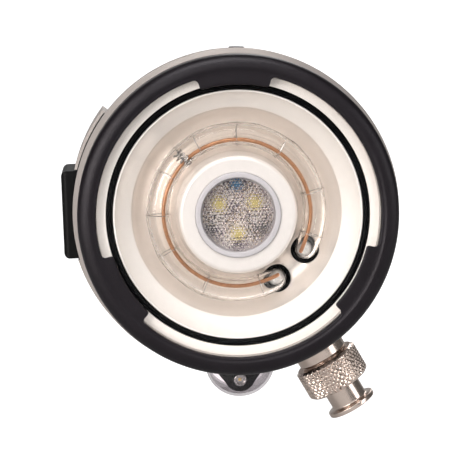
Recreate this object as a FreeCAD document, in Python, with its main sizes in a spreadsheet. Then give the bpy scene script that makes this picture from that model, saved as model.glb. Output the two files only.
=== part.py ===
import FreeCAD, Part
import math
import os

import Sketcher
from FreeCAD import Placement, Rotation, Vector

# Underwater strobe: a ring flash tube and an LED light behind a clear front window, in an aluminium
# housing. Millimetres. Row frame: origin at the mouth of the arm-mount hole in the shoe, +Z up, the light
# shines to -Y.
# "Depth" is the distance behind the front crest of the bumper, along +Y, and "clock" is an angle clockwise
# from straight up, as seen from the front.

SIZES = {
    # where the lamp stands in the row frame
    "axis_to_shoe": 60.0,        # lamp axis to the shoe's outer face
    "shoe_depth": 44.0,          # middle of the shoe
    "gap": 0.15,                 # assembly clearance between fixed pieces
    "running_gap": 0.05,         # radial clearance of turning and sliding pieces
    # bumper
    "bumper_inner": 48.2, "bumper_outer": 54.5, "bumper_length": 13.9,
    "bumper_lip": 3.2, "bumper_skirt_inner": 51.0, "bumper_bead": 50.5,
    "bumper_crest_round": 3.1, "bumper_edge_round": 1.4,
    "bead_start": 8.6, "bead_end": 10.4,
    "lobe_inner": 44.4, "lobe_front": 0.45, "lobe_back": 1.35, "lobe_span": 30.0,
    # window, seat and seal
    "window_radius": 48.05, "window_front": 1.4, "window_back": 5.4, "window_chamfer": 0.4,
    "seat_inner": 44.9, "seat_back": 7.6,
    "window_seal_ring": 43.75, "window_seal_cord": 1.1,
    # housing
    "spigot_outer": 50.9, "spigot_front": 3.3, "ledge_inner": 42.6, "ledge_back": 10.5,
    "root_depth": 2.0, "throat_radius": 44.4, "flange_front": 14.0, "flange_face": 54.6,
    "flange_radius": 56.2, "flange_chamfer": 1.6, "flange_back": 24.0,
    "tube_outer": 50.0, "tube_inner": 45.0, "tube_back": 118.0,
    "band_radius": 51.2, "band_front": 104.0, "band_slope": 1.2,
    "saddle_radius": 57.4, "saddle_front": 27.3, "saddle_back": 62.0, "saddle_span": 78.0,
    "saddle_flat": 54.0, "saddle_slope": 5.0,
    # lock ring behind the flange
    "lock_radius": 55.7, "lock_front": 24.1, "lock_back": 27.1, "lock_lug_radius": 56.5,
    "lock_lug_span": 5.2, "lock_wide_span": 24.6, "lock_slot": 5.0,
    # reflector, measured on its front surface
    "rim_radius": 41.9, "rim_edge": 42.4, "rim_depth": 6.3, "shoulder_radius": 36.2, "shoulder_depth": 15.2,
    "trough_radius": 28.0, "trough_depth": 22.0, "foot_radius": 21.3, "foot_depth": 15.5,
    "pedestal_radius": 20.2, "pedestal_depth": 6.4, "pedestal_round": 1.5, "pedestal_hole": 14.7,
    "reflector_wall": 1.0, "bowl_curve": 26.0, "trough_curve": 9.5, "inner_curve": 8.5,
    # LED light
    "lens_radius": 12.7, "lens_front": 6.0, "lens_back": 8.4, "bezel_radius": 14.6, "bezel_front": 5.6,
    "bezel_lip": 0.7,
    "board_front": 11.5, "board_thickness": 1.6, "led_size": 3.4, "led_height": 1.5,
    "white_led_ring": 7.0, "signal_led_ring": 10.0, "signal_led_size": 2.6, "heatsink_radius": 13.0,
    # flash tube and its wires
    "flash_ring": 27.0, "flash_outer": 4.0, "flash_bore": 2.9, "flash_depth": 16.5, "flash_bend": 5.5,
    "flash_leg_end": 30.0, "leg_clock_a": 121.5, "leg_clock_b": 151.0,
    "electrode_radius": 1.9, "electrode_tip": 20.6, "electrode_end": 29.0, "lead_radius": 0.6,
    "ferrule_back": 32.4, "lead_end": 34.0,
    "trigger_ring": 25.2, "trigger_depth": 12.26, "trigger_cord": 0.6,
    "loop_ring": 4.25, "loop_cord": 0.2,
    "grommet_inner": 4.05, "grommet_sleeve": 4.32, "grommet_lip": 4.95, "grommet_front": 20.1,
    "grommet_waist": 21.0, "grommet_back": 26.4, "grommet_heel": 25.2, "reflector_hole": 4.36,
    # chassis and electronics
    "chassis_front": 23.05, "chassis_back": 25.1, "chassis_radius": 44.85, "chassis_hole": 4.4,
    "hv_board_radius": 33.0, "hv_board_front": 34.0, "post_radius": 2.5, "post_ring": 29.0,
    "capacitor_radius": 12.0, "capacitor_front": 38.0, "capacitor_length": 52.0,
    "capacitor_across": 14.0, "capacitor_up": 25.0,
    "coil_radius": 5.0, "coil_length": 13.0, "transformer_size": 17.0, "transformer_height": 14.0,
    "coil_across": 18.0, "coil_drop": 12.0, "transformer_across": 8.0, "transformer_drop": 10.0,
    "spacer_low_across": 33.5, "spacer_low_up": 6.5, "spacer_high_across": 14.5,
    "spacer_high_up": 34.5,
    "main_board_front": 94.4, "main_board_bottom": 2.5, "main_board_radius": 43.0,
    "switch_size": 13.5,
    # battery compartment
    "cell_radius": 7.25, "cell_length": 50.5, "cell_front": 62.0, "cell_pitch": 14.9,
    "battery_drop": 20.0, "sleeve_inner": 18.5, "sleeve_outer": 20.4, "sleeve_front": 58.0,
    "contact_front": 60.2, "contact_thickness": 1.6,
    # rear cover
    "cover_radius": 50.0, "cover_back": 124.0, "cover_spigot_front": 112.0, "cover_spigot_inner": 41.0,
    "cover_spigot_outer": 44.85, "cover_seal_front": 114.0, "cover_seal_back": 115.9,
    "cover_seal_ring": 44.05, "cover_seal_cord": 0.94, "cover_chamfer": 1.2,
    "cover_screw_ring": 47.5, "screw_radius": 1.5, "screw_head": 2.5, "screw_head_height": 2.4,
    "screw_length": 12.0, "screw_seat": 1.6, "sleeve_pocket": 119.5,
    # knobs
    "knob_across": 21.0, "knob_up": 20.0, "knob_radius": 11.0, "knob_front": 124.6, "knob_back": 137.0,
    "knob_edge": 1.0, "knob_skirt": 2.4, "flute_out": 1.0, "flute_radius": 2.0,
    "shaft_radius": 3.0, "shaft_front": 102.8, "shaft_back": 135.2,
    "shaft_seal_ring": 4.0, "shaft_seal_cord": 0.9, "shaft_seal_depth": 121.0,
    # test button and status light
    "button_up": 33.0, "button_radius": 4.2, "button_front": 124.7, "button_back": 127.6,
    "button_stem": 1.9, "button_tip": 101.2, "button_travel": 1.5, "spring_ring": 2.75,
    "spring_wire": 0.28, "spring_front": 121.2, "spring_well": 3.5, "tact_size": 6.0,
    "tact_height": 3.6, "light_up": 17.0, "light_radius": 2.2,
    # battery cap
    "cap_radius": 23.0, "cap_front": 124.5, "cap_back": 133.0, "cap_spigot": 18.3,
    "cap_spigot_front": 117.6, "cap_bore": 16.2, "cap_floor": 122.0, "cap_pin": 2.4,
    "cap_pin_front": 113.2, "cap_pin_head": 130.4, "cap_pin_head_radius": 4.6,
    "cap_pin_head_height": 1.5, "coin_slot_length": 30.0, "coin_slot_width": 2.6,
    "coin_slot_depth": 2.2, "cap_seal_ring": 17.55, "cap_seal_cord": 0.85, "cap_seal_depth": 120.4,
    "plate_radius": 15.9, "plate_back": 115.4, "spring_contact_radius": 2.6,
    # sync connector
    "socket_clock": 151.2, "socket_depth": 36.0, "boss_radius": 12.0, "boss_top": 51.5,
    "boss_foot": 46.5, "collar_radius": 9.1, "collar_top": 62.9, "nose_radius": 7.4,
    "nose_top": 70.2, "shank_radius": 5.9, "shank_foot": 38.0, "socket_bore": 5.0, "socket_floor": 55.5,
    "socket_core": 4.0, "pin_radius": 0.45, "pin_ring": 2.4, "pin_top": 58.1, "nut_radial_foot": 39.6,
    "nut_radial_top": 43.9,
    "inner_nut_radius": 8.6, "socket_seal_ring": 6.95, "socket_seal_cord": 0.75, "socket_seal_room": 8.1,
    "coupling_radius": 11.7, "coupling_foot": 63.5, "coupling_top": 74.6, "coupling_floor": 72.5,
    "coupling_chamfer": 0.9, "stem_radius": 6.6, "stem_top": 82.0, "plug_disc": 8.9, "plug_top": 83.7,
    "plug_shoulder": 7.15, "plug_shoulder_foot": 70.4, "plug_shoulder_top": 72.35, "plug_spigot": 4.93,
    "plug_foot": 58.7, "plug_seal_ring": 4.22, "plug_seal_cord": 0.72, "plug_seal_height": 64.3,
    # slave sensor under the flange
    "sensor_drop": 54.4, "sensor_radius": 12.2, "sensor_wall": 0.8, "sensor_front": 27.3,
    "sensor_back": 46.0, "sensor_seat": 50.1, "shroud_radius": 5.6, "shroud_drop": 59.9,
    "shroud_neck": 10.2, "shroud_neck_drop": 62.2, "shroud_width": 19.0, "shroud_width_drop": 56.4,
    "shroud_front": 30.5, "shroud_back": 43.0, "diode_drop": 61.2, "diode_radius": 2.45,
    "diode_front": 29.2, "diode_back": 34.5, "sensor_wire_hole": 2.0, "sensor_wire_depth": 37.0,
    # mounting shoe
    "shoe_length": 32.0, "shoe_width": 30.6, "shoe_round": 2.0, "arm_hole": 2.5, "arm_pin_hole": 1.65,
    "arm_pin_spacing": 22.0, "shoe_screw_along": 11.6, "shoe_screw_across": 10.4,
    "shoe_screw_length": 8.0, "shoe_screw_head": 2.8,
}
CONTACT_PINS = 5
KNOB_FLUTES = 8
CAP_FLUTES = 12
SPRING_TURNS = 4
LOBE_CLOCKS = (0, 120, 240)
LOOP_CLOCKS = (2, 37, 77, 205, 242, 270, 300, 318, 332)
LOCK_LUG_CLOCKS = (2.5, 120, 236, 241.9)
LOCK_WIDE_CLOCK = 296.3
POST_CLOCKS = (0, 90, 225, 315)
COVER_SCREW_CLOCKS = (0, 60, 120, 180, 240, 300)
FULL_TURN = 360.0
PAST = 1.0  # how far a cutting tool reaches past a face it opens

document = FreeCAD.newDocument("underwater_strobe")
sheet = document.addObject("Spreadsheet::Sheet", "Sizes")
nodes = {}


class Size:
    """A sheet value, or a sum, difference or product of them, with the formula that says so."""

    def __init__(self, value, formula=None):
        self.value = float(value)
        self.formula = formula or f"({float(value)})"

    def __add__(self, other):
        other = as_size(other)
        return Size(self.value + other.value, f"({self.formula} + {other.formula})")

    def __sub__(self, other):
        other = as_size(other)
        return Size(self.value - other.value, f"({self.formula} - {other.formula})")

    def __mul__(self, other):
        other = as_size(other)
        return Size(self.value * other.value, f"({self.formula} * {other.formula})")

    def __rsub__(self, other):
        return as_size(other) - self

    def __neg__(self):
        return self * -1


def as_size(value):
    return value if isinstance(value, Size) else Size(value)


class Cells:
    """The sheet's cells as attributes, such as cells.flange_radius."""

    def __init__(self, values):
        for row, (alias, value) in enumerate(values.items(), start=1):
            sheet.set(f"A{row}", alias)
            sheet.set(f"B{row}", str(value))
            sheet.setAlias(f"B{row}", alias)
            setattr(self, alias, Size(value, f"Sizes.{alias}"))
        document.recompute()


d = Cells(SIZES)


# Placing

def bind(thing, path, size):
    thing.setExpression(path, as_size(size).formula)


def place(thing, right=0, depth=0, up=0, rotation=Rotation()):
    """Put a thing at a point of the lamp: right of its axis, behind its front crest, above its axis."""
    right = as_size(right) + d.axis_to_shoe
    depth = as_size(depth) - d.shoe_depth
    up = as_size(up)
    thing.Placement = Placement(Vector(right.value, depth.value, up.value), rotation)
    bind(thing, "Placement.Base.x", right)
    bind(thing, "Placement.Base.y", depth)
    bind(thing, "Placement.Base.z", up)
    return thing


def clock_vector(clock, radius=1.0):
    return Vector(radius * math.sin(math.radians(clock)), 0, radius * math.cos(math.radians(clock)))


def radial(clock):
    """Turns a piece made along +Y so that it points away from the lamp axis at this clock angle."""
    return Rotation(Vector(0, 1, 0), clock_vector(clock))


def about_axis(clock):
    """Turns a piece made towards +X about the lamp axis to this clock angle."""
    return Rotation(Vector(0, 1, 0), clock - 90)


# Making

def new(kind, name, **properties):
    thing = document.addObject(kind, name)
    for key, value in properties.items():
        if isinstance(value, Size):
            setattr(thing, key, value.value)
            bind(thing, key, value)
        else:
            setattr(thing, key, value)
    return thing


def arc_between(start, end, radius):
    """The shorter arc between two points; its centre is on the left of the way for a positive radius."""
    chord = end - start
    rise = math.sqrt(max(radius ** 2 - (chord.Length / 2) ** 2, 0))
    left = Vector(-chord.y, chord.x, 0).normalize()
    centre = (start + end) / 2 + left * rise * math.copysign(1, radius)
    first, last = (start, end) if radius > 0 else (end, start)
    angles = [math.atan2(point.y - centre.y, point.x - centre.x) for point in (first, last)]
    return Part.ArcOfCircle(Part.Circle(centre, Vector(0, 0, 1), abs(radius)), *angles)


def profile(body, corners, name):
    """A closed sketch of (radius, along) corners; a third entry bends the next edge."""
    sketch = body.newObject("Sketcher::SketchObject", name)
    plane = [feature for feature in body.Origin.OriginFeatures if feature.Role == "XY_Plane"][0]
    sketch.AttachmentSupport = [(plane, "")]
    sketch.MapMode = "FlatFace"
    corners = [tuple(as_size(entry) for entry in corner) for corner in corners]
    points = [Vector(corner[0].value, corner[1].value, 0) for corner in corners]
    ends = []
    for edge, corner in enumerate(corners):
        start, end = points[edge], points[(edge + 1) % len(points)]
        if len(corner) == 2:
            sketch.addGeometry(Part.LineSegment(start, end))
            ends.append((1, 2))
        else:
            sketch.addGeometry(arc_between(start, end, corner[2].value))
            ends.append((1, 2) if corner[2].value > 0 else (2, 1))
    for edge in range(len(corners)):
        following = (edge + 1) % len(corners)
        joint = Sketcher.Constraint("Coincident", edge, ends[edge][1], following, ends[following][0])
        sketch.addConstraint(joint)
    for edge, corner in enumerate(corners):
        for kind, size in zip(("DistanceX", "DistanceY"), corner):
            held = Sketcher.Constraint(kind, -1, 1, edge, ends[edge][0], size.value)
            bind(sketch, f"Constraints[{sketch.addConstraint(held)}]", size)
        if len(corner) == 3:
            curve = Sketcher.Constraint("Radius", edge, abs(corner[2].value))
            size = corner[2] if corner[2].value > 0 else -corner[2]
            bind(sketch, f"Constraints[{sketch.addConstraint(curve)}]", size)
    return sketch


def turned(name, corners, span=None, **where):
    """A body turned about its own Y axis from (radius, along) corners."""
    body = document.addObject("PartDesign::Body", name)
    sketch = profile(body, corners, f"{name}_profile")
    turn = body.newObject("PartDesign::Revolution", f"{name}_turn")
    turn.Profile = sketch
    turn.ReferenceAxis = (sketch, ["V_Axis"])
    turn.Angle = FULL_TURN
    if span is not None:
        turn.Midplane = True
        turn.Angle = span.value
        bind(turn, "Angle", span)
    sketch.Visibility = False
    return place(body, **where)


def soften(body, kind, size, rings):
    """Fillet or chamfer the body's circular edges at these (radius, along) places."""
    document.recompute()
    last = body.Tip
    shape = last.Shape
    names = []
    for number, edge in enumerate(shape.Edges, start=1):
        curve = edge.Curve
        if not isinstance(curve, Part.Circle):
            continue
        for ring_radius, along in rings:
            same_radius = abs(curve.Radius - as_size(ring_radius).value) < 1e-4
            if same_radius and abs(curve.Center.y - as_size(along).value) < 1e-4:
                names.append(f"Edge{number}")
    name = f"{body.Name}_{kind.lower()}_{len(body.Group)}"
    feature = body.newObject(f"PartDesign::{kind}", name)
    feature.Base = (last, names)
    key = "Radius" if kind == "Fillet" else "Size"
    setattr(feature, key, size.value)
    bind(feature, key, size)
    return body


def ring_cord(name, ring, cord, depth=0, right=0, up=0):
    """An O-ring or ring of wire round the lamp axis or an axis beside it."""
    torus = new("Part::Torus", name, Radius1=ring, Radius2=cord)
    return place(torus, right, depth, up, Rotation(Vector(1, 0, 0), -90))


def socket_ring_cord(name, ring, cord, height):
    """An O-ring round the sync socket's axis, this far from the lamp axis."""
    torus = new("Part::Torus", name, Radius1=ring, Radius2=cord)
    way = clock_vector(d.socket_clock.value)
    return place(torus, height * way.x, d.socket_depth, height * way.z, Rotation(Vector(0, 0, 1), way))


def rod(name, radius, front, back, right=0, up=0):
    """A solid cylinder along the lamp's depth."""
    cylinder = new("Part::Cylinder", name, Radius=radius, Height=as_size(back) - front)
    return place(cylinder, right, front, up, Rotation(Vector(1, 0, 0), -90))


def block(name, width, front, back, height, right=0, up=0):
    """A box centred across and up, from one depth to another."""
    width, height = as_size(width), as_size(height)
    box = new("Part::Box", name, Length=width, Width=as_size(back) - front, Height=height)
    return place(box, as_size(right) - width * 0.5, front, as_size(up) - height * 0.5)


def tapered(name, front, back, low, low_width, high, high_width):
    """A block whose width changes evenly between two heights, from one depth to another."""
    wedge = new("Part::Wedge", name, Xmin=low_width * -0.5, Xmax=low_width * 0.5, Ymin=low,
                Ymax=high, Zmin=-back, Zmax=-front, X2min=high_width * -0.5,
                X2max=high_width * 0.5, Z2min=-back, Z2max=-front)
    return place(wedge, rotation=Rotation(Vector(1, 0, 0), 90))


def joined(name, pieces):
    return new("Part::MultiFuse", name, Shapes=pieces)


def cut(name, base, tools):
    tool = tools[0] if len(tools) == 1 else joined(f"{name}_tools", tools)
    return new("Part::Cut", name, Base=base, Tool=tool)


def group(name, pieces):
    return new("Part::Compound", name, Links=pieces)


def node(name, thing):
    """Keep this piece as a sub-part of the strobe."""
    thing.Label = name
    nodes[name] = thing
    return thing


def radial_hole(name, size, foot, top, clock, depth, up=0):
    """A round cutting tool that points away from the lamp axis, from one distance to another."""
    hole = [(0, foot), (size, foot), (size, top), (0, top)]
    return turned(name, hole, depth=depth, up=up, rotation=radial(clock))


def screw(name, head, shank, top, length, along, spot, axis_turn):
    """A socket-head screw: its head stands above the face at `top`, its shank goes in below."""
    corners = [(0, top + head[1]), (head[0], top + head[1]), (head[0], top), (shank, top),
               (shank, top - length), (0, top - length)]
    return turned(name, corners, right=spot.x, depth=along, up=spot.z, rotation=axis_turn)


# Front

def make_front():
    corners = [(d.bumper_inner, 0), (d.bumper_outer, 0), (d.bumper_outer, d.bumper_length),
               (d.bumper_skirt_inner, d.bumper_length), (d.bumper_skirt_inner, d.bead_end),
               (d.bumper_bead, d.bead_end), (d.bumper_bead, d.bead_start),
               (d.bumper_skirt_inner, d.bead_start), (d.bumper_skirt_inner, d.bumper_lip),
               (d.bumper_inner, d.bumper_lip)]
    bumper = turned("front_bumper_ring", corners, rotation=about_axis(120))
    soften(bumper, "Fillet", d.bumper_crest_round, [(d.bumper_outer, 0)])
    soften(bumper, "Fillet", d.bumper_edge_round, [(d.bumper_inner, 0)])
    root = d.bumper_inner + d.bumper_edge_round
    lobe = [(d.lobe_inner, d.lobe_front), (root, d.lobe_front), (root, d.lobe_back),
            (d.lobe_inner, d.lobe_back)]
    lobes = [turned(f"bumper_lobe_{clock}", lobe, d.lobe_span, rotation=about_axis(clock))
             for clock in LOBE_CLOCKS]
    node("front_bumper", joined("front_bumper", [bumper, *lobes]))

    disc = [(0, d.window_front), (d.window_radius, d.window_front),
            (d.window_radius, d.window_back), (0, d.window_back)]
    window = node("front_window", turned("front_window", disc))
    soften(window, "Chamfer", d.window_chamfer, [(d.window_radius, d.window_front)])

    seat = [(d.seat_inner, d.window_back), (d.window_radius, d.window_back),
            (d.window_radius, d.seat_back), (d.seat_inner, d.seat_back)]
    node("window_seat_ring", turned("window_seat_ring", seat))
    seal_depth = d.window_back + d.window_seal_cord
    seal = ring_cord("window_oring", d.window_seal_ring, d.window_seal_cord, seal_depth)
    node("window_oring", seal)


def make_reflector():
    wall = d.reflector_wall
    top = d.pedestal_radius - d.pedestal_round
    front = [(d.rim_radius, d.rim_depth, d.bowl_curve),
             (d.shoulder_radius, d.shoulder_depth, d.trough_curve),
             (d.trough_radius, d.trough_depth, d.inner_curve), (d.foot_radius, d.foot_depth),
             (d.pedestal_radius, d.pedestal_depth + d.pedestal_round, -d.pedestal_round),
             (top, d.pedestal_depth), (d.pedestal_hole, d.pedestal_depth)]
    back = [(d.pedestal_hole, d.pedestal_depth + wall), (top, d.pedestal_depth + wall),
            (d.pedestal_radius - wall, d.pedestal_depth + wall * 2),
            (d.foot_radius - wall, d.foot_depth, -d.inner_curve - wall),
            (d.trough_radius, d.trough_depth + wall, -d.trough_curve - wall),
            (d.shoulder_radius + wall, d.shoulder_depth, -d.bowl_curve - wall),
            (d.rim_edge, d.rim_depth + wall), (d.rim_edge, d.rim_depth)]
    dish = turned("reflector_dish", front + back)
    holes = []
    for clock in (d.leg_clock_a, d.leg_clock_b):
        spot = leg_spot(clock)
        number = f"{clock.value:.0f}"
        lip_room = d.grommet_lip + d.running_gap
        holes.append(rod(f"reflector_hole_{number}", d.reflector_hole, d.flash_depth,
                         d.chassis_front + PAST, spot.x, spot.z))
        holes.append(rod(f"reflector_lip_room_{number}", lip_room, d.flash_depth,
                         d.grommet_waist, spot.x, spot.z))
    node("reflector", cut("reflector", dish, holes))


def make_led_light():
    lens = [(0, d.lens_front), (d.lens_radius, d.lens_front),
            (d.lens_radius, d.lens_back), (0, d.lens_back)]
    node("led_lens", turned("led_lens", lens))
    lip = d.lens_radius - d.bezel_lip
    bezel = [(d.lens_radius, d.bezel_front), (d.bezel_radius, d.bezel_front),
             (d.bezel_radius, d.board_front), (lip, d.board_front), (lip, d.lens_back),
             (d.lens_radius, d.lens_back)]
    bezel = node("led_bezel", turned("led_bezel", bezel))
    edges = [(d.bezel_radius, d.bezel_front), (d.lens_radius, d.bezel_front)]
    soften(bezel, "Fillet", d.window_chamfer, edges)
    board_back = d.board_front + d.board_thickness
    node("led_board", rod("led_board", d.bezel_radius, d.board_front, board_back))
    node("led_heatsink", rod("led_heatsink", d.heatsink_radius, board_back, d.chassis_front))
    rings = (("white_leds", d.white_led_ring, d.led_size, (60, 180, 300)),
             ("signal_leds", d.signal_led_ring, d.signal_led_size, (0, 120, 240)))
    for name, ring, size, clocks in rings:
        dies = []
        for clock in clocks:
            spot = clock_vector(clock, ring.value)
            front = d.board_front - d.led_height
            dies.append(block(f"{name}_{clock}", size, front, d.board_front, size, spot.x, spot.z))
        node(name, group(name, dies))


# Flash tube

def bend_angle():
    return math.degrees(math.atan2(d.flash_bend.value, d.flash_ring.value))


def leg_spot(clock):
    """Where a leg of the flash tube stands: on the tangent where the ring starts to bend back."""
    return clock_vector(clock.value, math.hypot(d.flash_ring.value, d.flash_bend.value))


def flash_path():
    """The tube's centre line: leg, bend, nearly a full ring over the top, bend, leg."""
    ring, depth, bend = d.flash_ring.value, d.flash_depth.value, d.flash_bend.value
    starts = []
    for clock, way in ((d.leg_clock_a.value, -1), (d.leg_clock_b.value, 1)):
        on_ring = clock_vector(clock + way * bend_angle(), ring) + Vector(0, depth, 0)
        leg = leg_spot(as_size(clock))
        toward = (Vector(leg.x, depth, leg.z) - on_ring).normalize()
        knee = on_ring + toward * bend + Vector(0, bend, 0)
        half_bend = math.pi / 4
        sink = bend * (1 - math.cos(half_bend))
        middle = on_ring + toward * bend * math.sin(half_bend) + Vector(0, sink, 0)
        foot = Vector(knee.x, d.flash_leg_end.value, knee.z)
        starts.append((foot, knee, middle, on_ring))
    middle_clock = (d.leg_clock_a.value + d.leg_clock_b.value + FULL_TURN) / 2
    top = clock_vector(middle_clock, ring) + Vector(0, depth, 0)
    (foot_a, knee_a, middle_a, ring_a), (foot_b, knee_b, middle_b, ring_b) = starts
    edges = [Part.LineSegment(foot_a, knee_a), Part.Arc(knee_a, middle_a, ring_a),
             Part.Arc(ring_a, top, ring_b), Part.Arc(ring_b, middle_b, knee_b),
             Part.LineSegment(knee_b, foot_b)]
    return Part.Wire([edge.toShape() for edge in edges]), foot_a


def bent_rod(radius):
    path, foot = flash_path()
    section = Part.Wire([Part.makeCircle(radius, foot, Vector(0, -1, 0))])
    return path.makePipeShell([section], True, True)


def make_flash_tube():
    tube = document.addObject("Part::Feature", "flash_tube")
    tube.Shape = bent_rod(d.flash_outer.value).cut(bent_rod(d.flash_bore.value))
    node("flash_tube", place(tube))

    electrodes, ferrules, grommets = [], [], []
    for number, clock in enumerate((d.leg_clock_a, d.leg_clock_b), start=1):
        spot = leg_spot(clock)
        where = {"right": spot.x, "up": spot.z}
        electrode = [(0, d.electrode_tip), (d.electrode_radius, d.electrode_tip),
                     (d.electrode_radius, d.electrode_end), (d.lead_radius, d.electrode_end),
                     (d.lead_radius, d.lead_end), (0, d.lead_end)]
        electrodes.append(turned(f"electrode_{number}", electrode, **where))
        ferrule = [(d.lead_radius, d.flash_leg_end), (d.flash_outer, d.flash_leg_end),
                   (d.flash_outer, d.ferrule_back), (d.lead_radius, d.ferrule_back)]
        ferrules.append(turned(f"ferrule_{number}", ferrule, **where))
        grommet = [(d.grommet_inner, d.grommet_front), (d.grommet_lip, d.grommet_front),
                   (d.grommet_lip, d.grommet_waist), (d.grommet_sleeve, d.grommet_waist),
                   (d.grommet_sleeve, d.grommet_heel), (d.grommet_lip, d.grommet_heel),
                   (d.grommet_lip, d.grommet_back), (d.grommet_inner, d.grommet_back)]
        grommets.append(turned(f"grommet_{number}", grommet, **where))
    node("tube_electrodes", group("tube_electrodes", electrodes))
    node("tube_ferrules", group("tube_ferrules", ferrules))
    node("tube_grommets", group("tube_grommets", grommets))

    first_clock = d.leg_clock_b.value + bend_angle()
    span = FULL_TURN - first_clock + d.leg_clock_a.value - bend_angle()
    wire = new("Part::Torus", "trigger_wire", Radius1=d.trigger_ring, Radius2=d.trigger_cord,
               Angle3=span)
    turn = Rotation(Vector(0, 1, 0), first_clock - 90).multiply(Rotation(Vector(1, 0, 0), 90))
    node("trigger_wire", place(wire, 0, d.trigger_depth, 0, turn))
    loops = []
    for clock in LOOP_CLOCKS:
        spot = clock_vector(clock, d.flash_ring.value)
        loop = new("Part::Torus", f"trigger_loop_{clock}", Radius1=d.loop_ring,
                   Radius2=d.loop_cord)
        tangent = Rotation(Vector(0, 0, 1), clock_vector(clock + 90))
        loops.append(place(loop, spot.x, d.flash_depth, spot.z, tangent))
    node("trigger_loops", group("trigger_loops", loops))


# Housing

def make_housing():
    shell = [(d.bumper_inner, d.spigot_front), (d.spigot_outer, d.spigot_front),
             (d.spigot_outer, d.bead_start - d.gap), (d.bumper_bead - d.gap, d.bead_start - d.gap),
             (d.bumper_bead - d.gap, d.bead_end + d.gap), (d.spigot_outer, d.bead_end + d.gap),
             (d.spigot_outer, d.flange_front), (d.flange_face, d.flange_front),
             (d.flange_radius, d.flange_front + d.flange_chamfer), (d.flange_radius, d.flange_back),
             (d.tube_outer, d.flange_back), (d.tube_outer, d.band_front),
             (d.band_radius, d.band_front + d.band_slope), (d.band_radius, d.tube_back - d.band_slope),
             (d.tube_outer, d.tube_back), (d.tube_inner, d.tube_back), (d.tube_inner, d.chassis_front),
             (d.throat_radius, d.chassis_front), (d.throat_radius, d.ledge_back),
             (d.ledge_inner, d.ledge_back), (d.ledge_inner, d.seat_back), (d.bumper_inner, d.seat_back)]
    shell = turned("housing_shell", shell)
    inside = d.tube_outer - d.root_depth
    saddle = [(inside, d.saddle_front), (d.saddle_radius, d.saddle_front),
              (d.saddle_radius, d.saddle_back - d.saddle_slope), (inside, d.saddle_back)]
    saddle = turned("housing_saddle", saddle, d.saddle_span, rotation=about_axis(270))
    boss = [(0, d.boss_foot), (d.boss_radius, d.boss_foot), (d.boss_radius, d.boss_top), (0, d.boss_top)]
    connector_turn = radial(d.socket_clock.value)
    boss = turned("housing_boss", boss, depth=d.socket_depth, rotation=connector_turn)
    blank = joined("housing_blank", [shell, saddle, boss])

    flat_depth = d.saddle_radius - d.saddle_flat + PAST
    flat = block("saddle_flat_cut", flat_depth, d.saddle_front - PAST, d.saddle_back + PAST,
                 d.shoe_width + PAST, right=-d.saddle_flat - flat_depth * 0.5)
    hole = radial_hole("socket_hole", d.shank_radius + d.gap, d.shank_foot, d.boss_top + PAST,
                       d.socket_clock.value, d.socket_depth)
    wire_hole = radial_hole("sensor_wire_hole", d.sensor_wire_hole, d.tube_inner - d.root_depth,
                            d.tube_outer + PAST, 180, d.sensor_wire_depth)
    tools = [flat, hole, wire_hole]
    for clock in COVER_SCREW_CLOCKS:
        spot = clock_vector(clock, d.cover_screw_ring.value)
        tools.append(rod(f"cover_screw_hole_{clock}", d.screw_radius,
                         d.cover_back - d.screw_length - PAST, d.cover_back, spot.x, spot.z))
    for name, along, up in shoe_screw_spots():
        tools.append(radial_hole(f"saddle_hole_{name}", d.screw_radius, d.tube_inner - d.root_depth,
                                 d.axis_to_shoe, 270, along, up))
    node("housing", cut("housing", blank, tools))


def make_lock_ring():
    ring = [(d.tube_outer + d.gap, d.lock_front), (d.lock_radius, d.lock_front),
            (d.lock_radius, d.lock_back), (d.tube_outer + d.gap, d.lock_back)]
    ring = turned("lock_ring_body", ring)
    foot = d.tube_outer + d.root_depth
    lug = [(foot, d.lock_front), (d.lock_lug_radius, d.lock_front), (d.lock_lug_radius, d.lock_back),
           (foot, d.lock_back)]
    lugs = [turned(f"lock_lug_{number + 1}", lug, d.lock_lug_span, rotation=about_axis(clock))
            for number, clock in enumerate(LOCK_LUG_CLOCKS)]
    lugs.append(turned("lock_lug_wide", lug, d.lock_wide_span, rotation=about_axis(LOCK_WIDE_CLOCK)))
    slot = block("lock_ring_slot", d.lock_radius - d.tube_outer + d.root_depth * 2,
                 d.lock_front - PAST, d.lock_back + PAST, d.lock_slot, right=d.lock_radius)
    boss_room = radial_hole("lock_ring_boss_room", d.boss_radius + d.gap, d.boss_foot,
                            d.axis_to_shoe, d.socket_clock.value, d.socket_depth)
    blank = joined("lock_ring_blank", [ring, *lugs])
    node("lock_ring", cut("lock_ring", blank, [slot, boss_room]))


# Mounting shoe

def shoe_screw_spots():
    return [(f"{row}{column}", d.shoe_depth + d.shoe_screw_along * row, d.shoe_screw_across * column)
            for row in (-1, 1) for column in (-1, 1)]


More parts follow.
